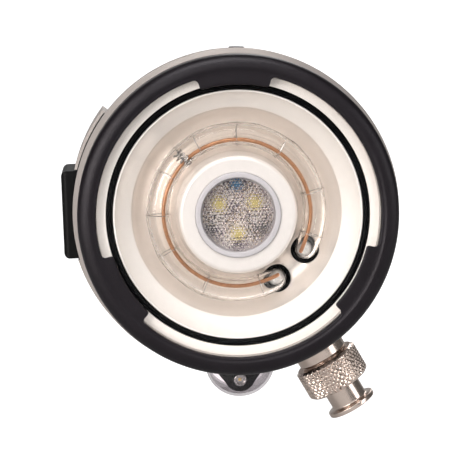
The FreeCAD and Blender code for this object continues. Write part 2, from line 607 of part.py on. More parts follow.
def make_shoe():
    front = d.shoe_depth - d.shoe_length * 0.5
    back = d.shoe_depth + d.shoe_length * 0.5
    thickness = d.axis_to_shoe - d.saddle_flat
    middle = (d.axis_to_shoe + d.saddle_flat) * -0.5
    blank = block("shoe_blank", thickness, front, back, d.shoe_width, right=middle)
    edges = [(number, d.shoe_round.value, d.shoe_round.value) for number in (1, 2, 3, 4)]
    softened = document.addObject("Part::Fillet", "shoe_softened")
    softened.Base = blank
    softened.Edges = edges
    foot = d.tube_outer
    top = d.axis_to_shoe + PAST
    tools = [radial_hole("arm_hole_cut", d.arm_hole, foot, top, 270, d.shoe_depth)]
    for way in (-0.5, 0.5):
        along = d.shoe_depth + d.arm_pin_spacing * way
        tools.append(radial_hole(f"arm_pin_hole_{way}", d.arm_pin_hole, foot, top, 270, along))
    screws = []
    head_top = d.axis_to_shoe - d.gap * 2
    head_foot = head_top - d.shoe_screw_head
    head = (d.shoe_screw_head - d.gap, d.shoe_screw_head)
    for name, along, up in shoe_screw_spots():
        tools.append(radial_hole(f"shoe_shank_room_{name}", d.screw_radius, foot, top, 270, along, up))
        tools.append(radial_hole(f"shoe_head_room_{name}", d.shoe_screw_head, head_foot, top,
                                 270, along, up))
        screws.append(screw(f"shoe_screw_{name}", head, d.screw_radius, head_foot,
                            d.shoe_screw_length, along, Vector(0, 0, up.value), radial(270)))
    node("mount_shoe", cut("mount_shoe", softened, tools))
    node("shoe_screws", group("shoe_screws", screws))


# Slave sensor

def make_sensor():
    drop = -d.sensor_drop
    wall = d.sensor_wall
    outside = rod("sensor_outside", d.sensor_radius, d.sensor_front, d.sensor_back, up=drop)
    inside = rod("sensor_inside", d.sensor_radius - wall, d.sensor_front + wall,
                 d.sensor_back - wall, up=drop)
    seat = rod("sensor_seat_cut", d.sensor_seat, d.sensor_front - PAST, d.sensor_back + PAST)
    node("sensor_window", cut("sensor_window", outside, [inside, seat]))

    nose = rod("shroud_nose", d.shroud_radius, d.shroud_front, d.shroud_back, up=-d.shroud_drop)
    neck = tapered("shroud_neck", d.shroud_front, d.shroud_back, -d.shroud_neck_drop,
                   d.shroud_neck, -d.shroud_width_drop, d.shroud_width)
    foot = d.tube_outer - d.root_depth
    height = d.shroud_width_drop - foot
    body = block("shroud_body", d.shroud_width, d.shroud_front, d.shroud_back, height,
                 up=height * -0.5 - foot)
    blank = joined("shroud_blank", [nose, neck, body])
    diode_room = rod("shroud_diode_room", d.diode_radius + d.gap, d.shroud_front - PAST,
                     d.diode_back, up=-d.diode_drop)
    shroud_seat = rod("shroud_seat_cut", d.sensor_seat, d.shroud_front - PAST, d.shroud_back + PAST)
    node("sensor_shroud", cut("sensor_shroud", blank, [diode_room, shroud_seat]))
    diode = rod("photodiode", d.diode_radius, d.diode_front, d.diode_back, up=-d.diode_drop)
    node("photodiode", diode)


# Sync connector

def make_connector():
    where = {"depth": d.socket_depth, "rotation": radial(d.socket_clock.value)}
    seal_top = d.boss_top + d.socket_seal_cord * 2
    socket = [(d.socket_core, d.shank_foot), (d.shank_radius, d.shank_foot),
              (d.shank_radius, seal_top), (d.socket_seal_room, seal_top),
              (d.socket_seal_room, d.boss_top), (d.collar_radius, d.boss_top),
              (d.collar_radius, d.collar_top), (d.nose_radius, d.collar_top),
              (d.nose_radius, d.nose_top), (d.socket_bore, d.nose_top),
              (d.socket_bore, d.socket_floor), (d.socket_core, d.socket_floor)]
    socket = node("bulkhead_socket", turned("bulkhead_socket", socket, **where))
    edges = [(d.collar_radius, d.collar_top), (d.nose_radius, d.nose_top)]
    soften(socket, "Chamfer", d.window_chamfer, edges)

    core_foot = d.shank_foot + PAST
    core = [(0, core_foot), (d.socket_core, core_foot), (d.socket_core, d.socket_floor),
            (0, d.socket_floor)]
    core = turned("contact_carrier_blank", core, **where)
    pin_foot = d.shank_foot - PAST
    pin = [(0, pin_foot), (d.pin_radius, pin_foot), (d.pin_radius, d.pin_top), (0, d.pin_top)]
    pins, rooms = [], []
    for number in range(CONTACT_PINS):
        angle = FULL_TURN / CONTACT_PINS * number
        offset = Rotation(Vector(0, 1, 0), angle).multVec(Vector(d.pin_ring.value, 0, 0))
        spot = where["rotation"].multVec(offset)
        for kind, pieces in (("contact_pin", pins), ("contact_room", rooms)):
            pieces.append(turned(f"{kind}_{number + 1}", pin, right=spot.x, up=spot.z,
                                 depth=d.socket_depth + spot.y, rotation=where["rotation"]))
    node("contact_carrier", cut("contact_carrier", core, rooms))
    node("contact_pins", group("contact_pins", pins))
    seal = socket_ring_cord("bulkhead_oring", d.socket_seal_ring, d.socket_seal_cord,
                            d.boss_top + d.socket_seal_cord)
    node("bulkhead_oring", seal)
    inner_nut = [(d.shank_radius, d.nut_radial_foot), (d.inner_nut_radius, d.nut_radial_foot),
                 (d.inner_nut_radius, d.nut_radial_top), (d.shank_radius, d.nut_radial_top)]
    node("bulkhead_nut", turned("bulkhead_nut", inner_nut, **where))

    plug = [(0, d.plug_foot), (d.plug_spigot, d.plug_foot), (d.plug_spigot, d.plug_shoulder_foot),
            (d.plug_shoulder, d.plug_shoulder_foot), (d.plug_shoulder, d.plug_shoulder_top),
            (d.stem_radius, d.plug_shoulder_top), (d.stem_radius, d.stem_top), (d.plug_disc, d.stem_top),
            (d.plug_disc, d.plug_top), (0, d.plug_top)]
    seal_foot = d.plug_seal_ring - d.plug_seal_cord
    seal_low = d.plug_seal_height - d.plug_seal_cord
    seal_high = d.plug_seal_height + d.plug_seal_cord
    seal_cut = [(seal_foot, seal_low), (d.shank_radius, seal_low), (d.shank_radius, seal_high),
                (seal_foot, seal_high)]
    blank = turned("plug_blank", plug, **where)
    edges = [(d.plug_disc, d.plug_top), (d.plug_spigot, d.plug_foot)]
    soften(blank, "Chamfer", d.window_chamfer, edges)
    groove = turned("plug_groove", seal_cut, **where)
    node("sync_plug", cut("sync_plug", blank, [groove]))
    seal = socket_ring_cord("plug_oring", d.plug_seal_ring, d.plug_seal_cord, d.plug_seal_height)
    node("plug_oring", seal)
    bore = d.nose_radius + d.running_gap * 2
    hole = d.stem_radius + d.running_gap
    nut = [(bore, d.coupling_foot), (d.coupling_radius, d.coupling_foot),
           (d.coupling_radius, d.coupling_top), (hole, d.coupling_top), (hole, d.coupling_floor),
           (bore, d.coupling_floor)]
    nut = node("coupling_nut", turned("coupling_nut", nut, **where))
    edges = [(d.coupling_radius, d.coupling_foot), (d.coupling_radius, d.coupling_top)]
    soften(nut, "Chamfer", d.coupling_chamfer, edges)


# Rear cover and controls

def make_rear_cover():
    seal_foot = d.cover_seal_ring - d.cover_seal_cord
    cover = [(0, d.tube_back), (d.cover_spigot_inner, d.tube_back),
             (d.cover_spigot_inner, d.cover_spigot_front),
             (d.cover_spigot_outer, d.cover_spigot_front), (d.cover_spigot_outer, d.cover_seal_front),
             (seal_foot, d.cover_seal_front), (seal_foot, d.cover_seal_back),
             (d.cover_spigot_outer, d.cover_seal_back), (d.cover_spigot_outer, d.tube_back),
             (d.cover_radius, d.tube_back), (d.cover_radius, d.cover_back), (0, d.cover_back)]
    blank = turned("cover_blank", cover)
    soften(blank, "Chamfer", d.cover_chamfer, [(d.cover_radius, d.cover_back)])
    low, high = d.tube_back - PAST, d.cover_back + PAST
    button_floor = d.button_front - d.button_travel - d.gap
    tools = [rod("cover_battery_hole", d.sleeve_inner, low, high, up=-d.battery_drop),
             rod("cover_sleeve_pocket", d.sleeve_outer + d.gap, low, d.sleeve_pocket,
                 up=-d.battery_drop),
             rod("cover_button_hole", d.button_stem + d.running_gap, low, high, up=d.button_up),
             rod("cover_spring_well", d.spring_well, d.spring_front, high, up=d.button_up),
             rod("cover_button_room", d.button_radius + d.gap, button_floor, high, up=d.button_up),
             rod("cover_light_hole", d.light_radius + d.running_gap, low, high, up=d.light_up)]
    seal_room = d.shaft_seal_ring + d.shaft_seal_cord
    for side in (-1, 1):
        right, up = d.knob_across * side, d.knob_up
        shaft_room = d.shaft_radius + d.running_gap
        tools.append(rod(f"cover_shaft_hole_{side + 2}", shaft_room, low, high, right, up))
        tools.append(rod(f"cover_seal_room_{side + 2}", seal_room,
                         d.shaft_seal_depth - d.shaft_seal_cord,
                         d.shaft_seal_depth + d.shaft_seal_cord, right, up))
    screws = []
    screw_top = d.cover_back - d.screw_seat
    head = (d.screw_head - d.gap, d.screw_head_height)
    for clock in COVER_SCREW_CLOCKS:
        spot = clock_vector(clock, d.cover_screw_ring.value)
        tools.append(rod(f"cover_hole_{clock}", d.screw_radius, low, high, spot.x, spot.z))
        tools.append(rod(f"cover_head_room_{clock}", d.screw_head, screw_top, high, spot.x, spot.z))
        screws.append(screw(f"rear_screw_{clock}", head, d.screw_radius, screw_top,
                            d.screw_length - PAST * 2, 0, spot, Rotation()))
    node("rear_cover", cut("rear_cover", blank, tools))
    node("rear_screws", group("rear_screws", screws))
    depth = d.cover_seal_front + d.cover_seal_cord
    seal = ring_cord("rear_oring", d.cover_seal_ring, d.cover_seal_cord - d.running_gap, depth)
    node("rear_oring", seal)


def make_knob(name, side):
    spot = {"right": d.knob_across * side, "up": d.knob_up}
    edge = d.knob_edge
    wall = [(d.shaft_radius, d.knob_front), (d.knob_radius, d.knob_front),
            (d.knob_radius, d.knob_back - edge), (d.knob_radius - edge, d.knob_back),
            (0, d.knob_back), (0, d.shaft_back), (d.shaft_radius, d.shaft_back)]
    blank = turned(f"{name}_knob_blank", wall, **spot)
    flutes = []
    for number in range(KNOB_FLUTES):
        clock = FULL_TURN / KNOB_FLUTES * (number + 0.5)
        way = clock_vector(clock, d.knob_radius.value + d.flute_out.value)
        flutes.append(rod(f"{name}_flute_{number + 1}", d.flute_radius, d.knob_front + d.knob_skirt,
                          d.knob_back + PAST, spot["right"] + way.x, spot["up"] + way.z))
    node(f"{name}_knob", cut(f"{name}_knob", blank, flutes))
    node(f"{name}_shaft", rod(f"{name}_shaft", d.shaft_radius, d.shaft_front, d.shaft_back, **spot))


def make_controls():
    seals, switches = [], []
    for name, side in (("mode", -1), ("power", 1)):
        make_knob(name, side)
        spot = {"right": d.knob_across * side, "up": d.knob_up}
        seals.append(ring_cord(f"{name}_seal", d.shaft_seal_ring, d.shaft_seal_cord - d.running_gap,
                               d.shaft_seal_depth, **spot))
        board_back = d.main_board_front + d.board_thickness
        switches.append(block(f"{name}_switch", d.switch_size, board_back, d.shaft_front - d.gap,
                              d.switch_size, **spot))
    node("shaft_orings", group("shaft_orings", seals))
    node("rotary_switches", group("rotary_switches", switches))

    stem_front = d.button_tip
    button = [(0, stem_front), (d.button_stem, stem_front), (d.button_stem, d.button_front),
              (d.button_radius, d.button_front), (d.button_radius, d.button_back), (0, d.button_back)]
    button = node("test_button", turned("test_button", button, up=d.button_up))
    soften(button, "Fillet", d.window_chamfer, [(d.button_radius, d.button_back)])
    turns = []
    rise = (d.button_front - d.spring_front - d.spring_wire * 2) * (1 / (SPRING_TURNS - 1))
    for number in range(SPRING_TURNS):
        depth = d.spring_front + d.spring_wire + rise * number
        turns.append(ring_cord(f"spring_turn_{number + 1}", d.spring_ring, d.spring_wire, depth,
                               up=d.button_up))
    node("button_spring", group("button_spring", turns))
    board_back = d.main_board_front + d.board_thickness
    node("tact_switch", block("tact_switch", d.tact_size, board_back, board_back + d.tact_height,
                              d.tact_size, up=d.button_up))
    light = rod("status_light", d.light_radius, board_back, d.cover_back, up=d.light_up)
    node("status_light", light)


# Battery compartment

def make_battery():
    drop = -d.battery_drop
    sleeve = [(0, d.sleeve_front), (d.sleeve_outer, d.sleeve_front), (d.sleeve_outer, d.sleeve_pocket),
              (d.sleeve_inner, d.sleeve_pocket), (d.sleeve_inner, d.contact_front), (0, d.contact_front)]
    node("battery_sleeve", turned("battery_sleeve", sleeve, up=drop))
    contact_back = d.contact_front + d.contact_thickness
    node("battery_contact_board", rod("battery_contact_board", d.sleeve_inner - d.gap, d.contact_front,
                                      contact_back, up=drop))
    cells, springs = [], []
    half = d.cell_pitch * 0.5
    for side in (-1, 1):
        for row in (-1, 1):
            spot = {"right": half * side, "up": half * row - d.battery_drop}
            cells.append(rod(f"cell_{side + 2}_{row + 2}", d.cell_radius, d.cell_front,
                             d.cell_front + d.cell_length, **spot))
            springs.append(rod(f"spring_contact_{side + 2}_{row + 2}", d.spring_contact_radius,
                               d.cell_front + d.cell_length + d.running_gap * 2, d.cap_pin_front,
                               **spot))
    node("battery_cells", group("battery_cells", cells))
    node("cap_contacts", group("cap_contacts", springs))
    pin_head = d.cap_pin_head
    head_foot = pin_head - d.cap_pin_head_height
    plate = [(0, d.cap_pin_front), (d.plate_radius, d.cap_pin_front), (d.plate_radius, d.plate_back),
             (d.cap_pin, d.plate_back), (d.cap_pin, head_foot), (d.cap_pin_head_radius, head_foot),
             (d.cap_pin_head_radius, pin_head), (0, pin_head)]
    node("cap_contact_plate", turned("cap_contact_plate", plate, up=drop))

    hole = d.cap_pin + d.running_gap
    head_room = d.cap_pin_head_radius + d.running_gap
    room_floor = head_foot - d.running_gap
    top = d.cap_back
    cap = [(hole, d.cap_floor), (d.cap_bore, d.cap_floor), (d.cap_bore, d.cap_spigot_front),
           (d.cap_spigot, d.cap_spigot_front), (d.cap_spigot, d.cap_front),
           (d.cap_radius, d.cap_front), (d.cap_radius, top), (head_room, top),
           (head_room, room_floor), (hole, room_floor)]
    blank = turned("cap_blank", cap, up=drop)
    soften(blank, "Fillet", d.cover_chamfer, [(d.cap_radius, d.cap_back)])
    seal_foot = d.cap_seal_ring - d.cap_seal_cord
    low, high = d.cap_seal_depth - d.cap_seal_cord, d.cap_seal_depth + d.cap_seal_cord
    rim = d.cap_spigot + PAST
    groove = [(seal_foot, low), (rim, low), (rim, high), (seal_foot, high)]
    groove = turned("cap_groove", groove, up=drop)
    slot = block("cap_coin_slot", d.coin_slot_length, d.cap_back - d.coin_slot_depth,
                 d.cap_back + PAST, d.coin_slot_width, up=drop)
    flutes = []
    for number in range(CAP_FLUTES):
        clock = FULL_TURN / CAP_FLUTES * (number + 0.5)
        way = clock_vector(clock, d.cap_radius.value + d.flute_out.value)
        flutes.append(rod(f"cap_flute_{number + 1}", d.flute_radius, d.cap_front - PAST,
                          d.cap_back + PAST, way.x, drop + way.z))
    node("battery_cap", cut("battery_cap", blank, [groove, slot, *flutes]))
    seal = ring_cord("cap_oring", d.cap_seal_ring, d.cap_seal_cord, d.cap_seal_depth, up=drop)
    node("cap_oring", seal)


# Electronics

def make_electronics():
    plate = rod("chassis_blank", d.chassis_radius, d.chassis_front, d.chassis_back)
    holes = []
    for clock in (d.leg_clock_a, d.leg_clock_b):
        spot = leg_spot(clock)
        holes.append(rod(f"chassis_hole_{clock.value:.0f}", d.chassis_hole,
                         d.chassis_front - PAST, d.chassis_back + PAST, spot.x, spot.z))
    node("chassis_plate", cut("chassis_plate", plate, holes))
    board_back = d.hv_board_front + d.board_thickness
    node("hv_board", rod("hv_board", d.hv_board_radius, d.hv_board_front, board_back))
    posts = []
    for clock in POST_CLOCKS:
        spot = clock_vector(clock, d.post_ring.value)
        posts.append(rod(f"hv_post_{clock}", d.post_radius, d.chassis_back, d.hv_board_front,
                         spot.x, spot.z))
    node("hv_posts", group("hv_posts", posts))

    capacitors = []
    for side in (-1, 1):
        capacitors.append(rod(f"capacitor_{side + 2}", d.capacitor_radius, d.capacitor_front,
                              d.capacitor_front + d.capacitor_length, d.capacitor_across * side,
                              d.capacitor_up))
    node("flash_capacitors", group("flash_capacitors", capacitors))
    coil = rod("trigger_coil", d.coil_radius, board_back, board_back + d.coil_length,
               -d.coil_across, -d.coil_drop)
    node("trigger_coil", coil)
    transformer = block("transformer", d.transformer_size, board_back,
                        board_back + d.transformer_height, d.transformer_size,
                        d.transformer_across, -d.transformer_drop)
    node("transformer", transformer)

    front = d.main_board_front
    back = front + d.board_thickness
    disc = rod("main_board_disc", d.main_board_radius, front, back)
    lower_size = d.main_board_radius * 2
    lower = block("main_board_lower", lower_size, front - PAST, back + PAST, lower_size,
                  up=d.main_board_bottom - d.main_board_radius)
    node("main_board", cut("main_board", disc, [lower]))
    spacers = []
    for side in (-1, 1):
        for across, up in ((d.spacer_low_across, d.spacer_low_up),
                           (d.spacer_high_across, d.spacer_high_up)):
            spacers.append(rod(f"spacer_{len(spacers) + 1}", d.post_radius, back, d.tube_back,
                               across * side, up))
    node("board_spacers", group("board_spacers", spacers))


def check_and_export():
    document.recompute()
    failed = [thing.Name for thing in document.Objects
              if "Invalid" in thing.State or "Error" in thing.State]
    for name, thing in nodes.items():
        shape = thing.Shape
        if shape.isNull() or not shape.isValid() or not shape.Solids:
            failed.append(f"{name} (shape)")
    if failed:
        raise RuntimeError("failed: " + ", ".join(failed))
    os.makedirs("parts", exist_ok=True)
    for name, thing in nodes.items():
        thing.Shape.exportStep(f"parts/{name}.step")
        print(f"{name}: {len(thing.Shape.Solids)} solids, {thing.Shape.Volume:.1f} mm3")
    print(len(nodes), "sub-parts")


make_front()
make_reflector()
make_led_light()
make_flash_tube()
make_housing()
make_lock_ring()
make_shoe()
make_sensor()
make_connector()
make_rear_cover()
make_controls()
make_battery()
make_electronics()
check_and_export()
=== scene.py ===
import math
import random

import bmesh
import bpy
from mathutils import Matrix, Vector


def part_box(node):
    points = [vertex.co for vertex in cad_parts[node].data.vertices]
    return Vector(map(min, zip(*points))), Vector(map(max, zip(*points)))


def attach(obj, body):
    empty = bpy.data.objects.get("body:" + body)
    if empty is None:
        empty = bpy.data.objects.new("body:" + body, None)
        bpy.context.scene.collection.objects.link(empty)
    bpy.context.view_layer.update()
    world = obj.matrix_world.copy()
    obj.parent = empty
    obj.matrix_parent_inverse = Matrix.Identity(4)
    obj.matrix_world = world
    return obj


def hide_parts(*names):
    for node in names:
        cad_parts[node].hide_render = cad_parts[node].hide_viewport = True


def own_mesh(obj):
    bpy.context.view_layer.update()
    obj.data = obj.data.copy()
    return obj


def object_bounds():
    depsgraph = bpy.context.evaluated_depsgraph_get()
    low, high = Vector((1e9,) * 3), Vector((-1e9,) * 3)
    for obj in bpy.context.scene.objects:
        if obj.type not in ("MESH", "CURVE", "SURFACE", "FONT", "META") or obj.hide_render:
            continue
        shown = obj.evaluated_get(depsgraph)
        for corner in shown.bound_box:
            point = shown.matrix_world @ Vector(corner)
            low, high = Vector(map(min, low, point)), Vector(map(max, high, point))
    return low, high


# Underwater strobe light. Metres in Blender; the making below counts in millimetres in the lamp's own
# frame: x to the right, y the depth behind the bumper's crest, z up, and "clock" an angle clockwise from
# straight up, as seen from the front.

MM = 0.001
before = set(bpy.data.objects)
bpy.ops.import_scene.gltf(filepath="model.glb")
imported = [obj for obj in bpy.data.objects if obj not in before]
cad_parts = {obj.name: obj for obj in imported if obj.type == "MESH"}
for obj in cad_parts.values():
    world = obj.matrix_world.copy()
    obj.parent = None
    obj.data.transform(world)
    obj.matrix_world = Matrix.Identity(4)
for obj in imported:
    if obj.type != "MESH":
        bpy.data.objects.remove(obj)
cad_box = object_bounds()
random.seed(11)

bumper_low, bumper_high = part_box("front_bumper")
AXIS = (bumper_low + bumper_high) / 2
AXIS.y = bumper_low.y
LAMP = Matrix.Translation(AXIS)


# Shapes

def around(clock, radius=1.0, depth=0.0):
    turn = math.radians(clock)
    return Vector((radius * math.sin(turn), depth, radius * math.cos(turn)))


def shifted(right=0.0, depth=0.0, up=0.0):
    """A place in the lamp's frame, in millimetres."""
    return LAMP @ Matrix.Translation(Vector((right, depth, up)) * MM)


def middle_of(node):
    """The middle of a CAD node in the lamp's frame, in millimetres."""
    low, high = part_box(node)
    return ((low + high) / 2 - AXIS) / MM


def pointing(clock, depth):
    """The frame of a part that points away from the lamp's axis at a clock angle."""
    turn = Vector((0, 1, 0)).rotation_difference(around(clock))
    return shifted(depth=depth) @ turn.to_matrix().to_4x4()


def rounded(corners, steps=5):
    """The points of a closed outline from its corners (radius, along, round), each rounded by its amount."""
    points = []
    count = len(corners)
    for number, corner in enumerate(corners):
        here = Vector(corner[:2])
        size = corner[2] if len(corner) > 2 else 0
        if not size:
            points.append(tuple(here))
            continue
        back = Vector(corners[number - 1][:2]) - here
        ahead = Vector(corners[(number + 1) % count][:2]) - here
        half = back.angle(ahead) / 2
        reach = min(size / math.tan(half), back.length * 0.49, ahead.length * 0.49)
        size = reach * math.tan(half)
        middle = here + (back.normalized() + ahead.normalized()).normalized() * (size / math.sin(half))
        first = here + back.normalized() * reach - middle
        last = here + ahead.normalized() * reach - middle
        sweep_angle = first.angle_signed(last)
        for step in range(steps + 1):
            turn = -sweep_angle * step / steps
            cosine, sine = math.cos(turn), math.sin(turn)
            points.append((middle.x + first.x * cosine - first.y * sine,
                           middle.y + first.x * sine + first.y * cosine))
    return points


def spun(section_of, clocks):
    """A closed cross-section of (radius, along) about the Y axis, which may change with the clock angle."""
    vertices, faces = [], []
    for clock in clocks:
        section = section_of(clock)
        vertices += [around(clock, radius, along) for radius, along in section]
    count = len(section)
    for step in range(len(clocks)):
        here, after = step * count, (step + 1) % len(clocks) * count
        for point in range(count):
            following = (point + 1) % count
            faces.append((here + point, here + following, after + following, after + point))
    return vertices, faces


def even_clocks(steps):
    return [360.0 * step / steps for step in range(steps)]


def lathe(outline, steps=160):
    """A closed outline of (radius, along) turned about the Y axis."""
    return spun(lambda _clock: outline, even_clocks(steps))


def box_shape(low, high):
    """A box between two corners."""
    corners = [(x, y, z) for x in (low[0], high[0]) for y in (low[1], high[1]) for z in (low[2], high[2])]
    faces = [(0, 1, 3, 2), (4, 6, 7, 5), (0, 4, 5, 1), (2, 3, 7, 6), (0, 2, 6, 4), (1, 5, 7, 3)]
    return corners, faces


def sweep(path, radius, sides=16, closed=False):
    """A round cord along a path of points; radius is one number or one for each point."""
    radii = radius if isinstance(radius, (list, tuple)) else [radius] * len(path)
    count = len(path)
    tangents = []
    for number in range(count):
        before = path[number - 1] if closed or number else path[0]
        after = path[(number + 1) % count] if closed or number < count - 1 else path[-1]
        tangents.append((after - before).normalized())
    side = tangents[0].orthogonal().normalized()
    sides_of = [side]
    for number in range(1, count):
        side = side - tangents[number] * side.dot(tangents[number])
        side.normalize()
        sides_of.append(side)
    twist = 0.0
    if closed:
        end = sides_of[-1] - tangents[0] * sides_of[-1].dot(tangents[0])
        twist = math.atan2(end.cross(sides_of[0]).dot(tangents[0]), end.dot(sides_of[0]))
    vertices, faces = [], []
    for number, middle in enumerate(path):
        across = sides_of[number]
        up = tangents[number].cross(across)
        for corner in range(sides):
            turn = math.tau * corner / sides + twist * number / count
            vertices.append(middle + (across * math.cos(turn) + up * math.sin(turn)) * radii[number])
    for number in range(count if closed else count - 1):
        here, after = number * sides, (number + 1) % count * sides
        for corner in range(sides):
            following = (corner + 1) % sides
            faces.append((here + corner, here + following, after + following, after + corner))
    if not closed:
        faces.append(tuple(reversed(range(sides))))
        faces.append(tuple(range((count - 1) * sides, count * sides)))
    return vertices, faces


def together(*shapes):
    vertices, faces = [], []
    for more_vertices, more_faces in shapes:
        start = len(vertices)
        vertices += [Vector(vertex) for vertex in more_vertices]
        faces += [tuple(start + corner for corner in face) for face in more_faces]
    return vertices, faces


def moved(shape, place):
    return [place @ Vector(vertex) for vertex in shape[0]], shape[1]


def clean(mesh):
    """Join double corners, drop faces without area and turn every face outward."""
    made = bmesh.new()
    made.from_mesh(mesh)
    bmesh.ops.remove_doubles(made, verts=made.verts, dist=1e-4)
    bmesh.ops.dissolve_degenerate(made, edges=made.edges, dist=1e-5)
    bmesh.ops.recalc_face_normals(made, faces=made.faces)
    made.to_mesh(mesh)
    made.free()


def piece(name, shape, slot, body, stands_for=(), place=LAMP, sharp=32.0, hollow=False, finish=None):
    """A new piece of the lamp from a shape in millimetres, in its slot's finish unless another is named.

    A hollow piece keeps its bore's faces turned inward.
    """
    mesh = bpy.data.meshes.new(name)
    mesh.from_pydata([tuple(vertex) for vertex in shape[0]], [], shape[1])
    if not hollow:
        clean(mesh)
    mesh.transform(place @ Matrix.Scale(MM, 4))
    mesh.shade_smooth()
    mesh.set_sharp_from_angle(angle=math.radians(sharp))
    mesh.materials.append(looks[finish or slot].material)
    thing = bpy.data.objects.new(name, mesh)
    bpy.context.scene.collection.objects.link(thing)
    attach(thing, body)
    if stands_for:
        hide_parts(*stands_for)
    return thing


# Materials

class Look:
    """A material and its nodes while it is being made."""

    def __init__(self, name):
        self.material = bpy.data.materials.new(name)
        self.material.use_nodes = True
        self.tree = self.material.node_tree
        self.shader = self.tree.nodes["Principled BSDF"]
        self.where = self.add("ShaderNodeTexCoord").outputs["Object"]

    def add(self, kind, **settings):
        node = self.tree.nodes.new(kind)
        for key, value in settings.items():
            setattr(node, key, value)
        return node

    def link(self, output, socket):
        self.tree.links.new(output, socket)

    def noise(self, scale, detail=3.0, roughness=0.55, stretch=None):
        node = self.add("ShaderNodeTexNoise")
        node.inputs["Scale"].default_value = scale
        node.inputs["Detail"].default_value = detail
        node.inputs["Roughness"].default_value = roughness
        source = self.where
        if stretch:
            mapping = self.add("ShaderNodeMapping")
            mapping.inputs["Scale"].default_value = stretch
            self.link(self.where, mapping.inputs["Vector"])
            source = mapping.outputs["Vector"]
        self.link(source, node.inputs["Vector"])
        return node.outputs["Fac"]

    def ramp(self, factor, stops):
        """Colours at positions, such as [(0.3, (r, g, b)), (0.7, (r, g, b))]."""
        node = self.add("ShaderNodeValToRGB")
        while len(node.color_ramp.elements) < len(stops):
            node.color_ramp.elements.new(0.5)
        for element, (position, colour) in zip(node.color_ramp.elements, stops):
            element.position = position
            element.color = (*colour, 1)
        self.link(factor, node.inputs["Fac"])
        return node.outputs["Color"]

    def two_tone(self, factor, first, second):
        return self.ramp(factor, [(0.3, first), (0.7, second)])

    def spread(self, factor, low, high, source_low=0.25, source_high=0.75):
        node = self.add("ShaderNodeMapRange")
        node.inputs["From Min"].default_value = source_low
        node.inputs["From Max"].default_value = source_high
        node.inputs["To Min"].default_value = low
        node.inputs["To Max"].default_value = high
        self.link(factor, node.inputs["Value"])
        return node.outputs["Result"]

    def mixed(self, factor, first, second):
        node = self.add("ShaderNodeMix", data_type="RGBA")
        self.link(factor, node.inputs[0])
        for value, socket in ((first, node.inputs[6]), (second, node.inputs[7])):
            if isinstance(value, tuple):
                socket.default_value = (*value, 1)
            else:
                self.link(value, socket)
        return node.outputs[2]

    def bump(self, heights):
        """Bumps from (height output, strength, distance in metres), one over the other."""
        normal = None
        for height, strength, distance in heights:
            node = self.add("ShaderNodeBump")
            node.inputs["Strength"].default_value = strength
            node.inputs["Distance"].default_value = distance
            self.link(height, node.inputs["Height"])
            if normal:
                self.link(normal, node.inputs["Normal"])
            normal = node.outputs["Normal"]
        self.link(normal, self.shader.inputs["Normal"])

    def surface(self, output):
        self.link(output, self.tree.nodes["Material Output"].inputs["Surface"])

    def set(self, **values):
        for key, value in values.items():
            socket = self.shader.inputs[key.replace("_", " ")]
            socket.default_value = (*value, 1) if isinstance(value, tuple) else value


def scaled(colour, factor):
    return tuple(min(part * factor, 1.0) for part in colour)


def solid(name, colour, roughness, metallic=0.0, change=0.08, patch=60.0, grain=1800.0, depth=0.02,
          rough_change=0.06, stretch=None, **more):
    """An opaque finish: soft patches of colour, uneven gloss and a fine grain. Depth is in millimetres."""
    look = Look(name)
    patches = look.noise(patch, 4.0)
    colours = look.two_tone(patches, scaled(colour, 1 - change), scaled(colour, 1 + change))
    look.link(colours, look.shader.inputs["Base Color"])
    grains = look.noise(grain, 3.0, 0.6, stretch)
    look.link(look.spread(grains, roughness - rough_change, roughness + rough_change),
              look.shader.inputs["Roughness"])
    look.bump([(grains, 0.6, depth * MM)])
    look.set(Metallic=metallic, **more)
    return look


def see_through(name, tint, edge, gloss_roughness, head_on):
    """A clear thin wall that doesn't bend what is behind it, and is darker and glossier at a slant."""
    look = Look(name)
    look.tree.nodes.remove(look.shader)
    clear = look.add("ShaderNodeBsdfTransparent")
    gloss = look.add("ShaderNodeBsdfGlossy")
    gloss.inputs["Roughness"].default_value = gloss_roughness
    facing = look.add("ShaderNodeLayerWeight").outputs["Facing"]
    slant = look.add("ShaderNodeMath", operation="POWER")
    look.link(facing, slant.inputs[0])
    slant.inputs[1].default_value = 5.0
    smears = look.noise(500.0)
    head_on_tint = look.two_tone(smears, scaled(tint, 0.985), tint)
    look.link(look.mixed(look.spread(facing, 0.0, 1.0, 0.3, 1.0), head_on_tint, edge), clear.inputs["Color"])
    mix = look.add("ShaderNodeMixShader")
    look.link(look.spread(slant.outputs[0], head_on, 0.8, 0.0, 1.0), mix.inputs["Fac"])
    look.link(clear.outputs["BSDF"], mix.inputs[1])
    look.link(gloss.outputs["BSDF"], mix.inputs[2])
    look.surface(mix.outputs["Shader"])
    return look


def real_glass(name, tint, roughness, ior):
    """Clear glass that bends light, and lets lamps through to what is behind it."""
    look = Look(name)
    waves = look.noise(400.0, 2.0)
    look.link(look.two_tone(waves, scaled(tint, 0.98), tint), look.shader.inputs["Base Color"])
    look.bump([(waves, 0.15, 0.01 * MM)])
    look.set(Roughness=roughness, IOR=ior, Transmission_Weight=1.0)
    clear = look.add("ShaderNodeBsdfTransparent")
    clear.inputs["Color"].default_value = (*scaled(tint, 0.97), 1)
    path = look.add("ShaderNodeLightPath")
    either = look.add("ShaderNodeMath", operation="MAXIMUM")
    look.link(path.outputs["Is Shadow Ray"], either.inputs[0])
    look.link(path.outputs["Is Diffuse Ray"], either.inputs[1])
    mix = look.add("ShaderNodeMixShader")
    look.link(either.outputs[0], mix.inputs["Fac"])
    look.link(look.shader.outputs["BSDF"], mix.inputs[1])
    look.link(clear.outputs["BSDF"], mix.inputs[2])
    look.surface(mix.outputs["Shader"])
    return look


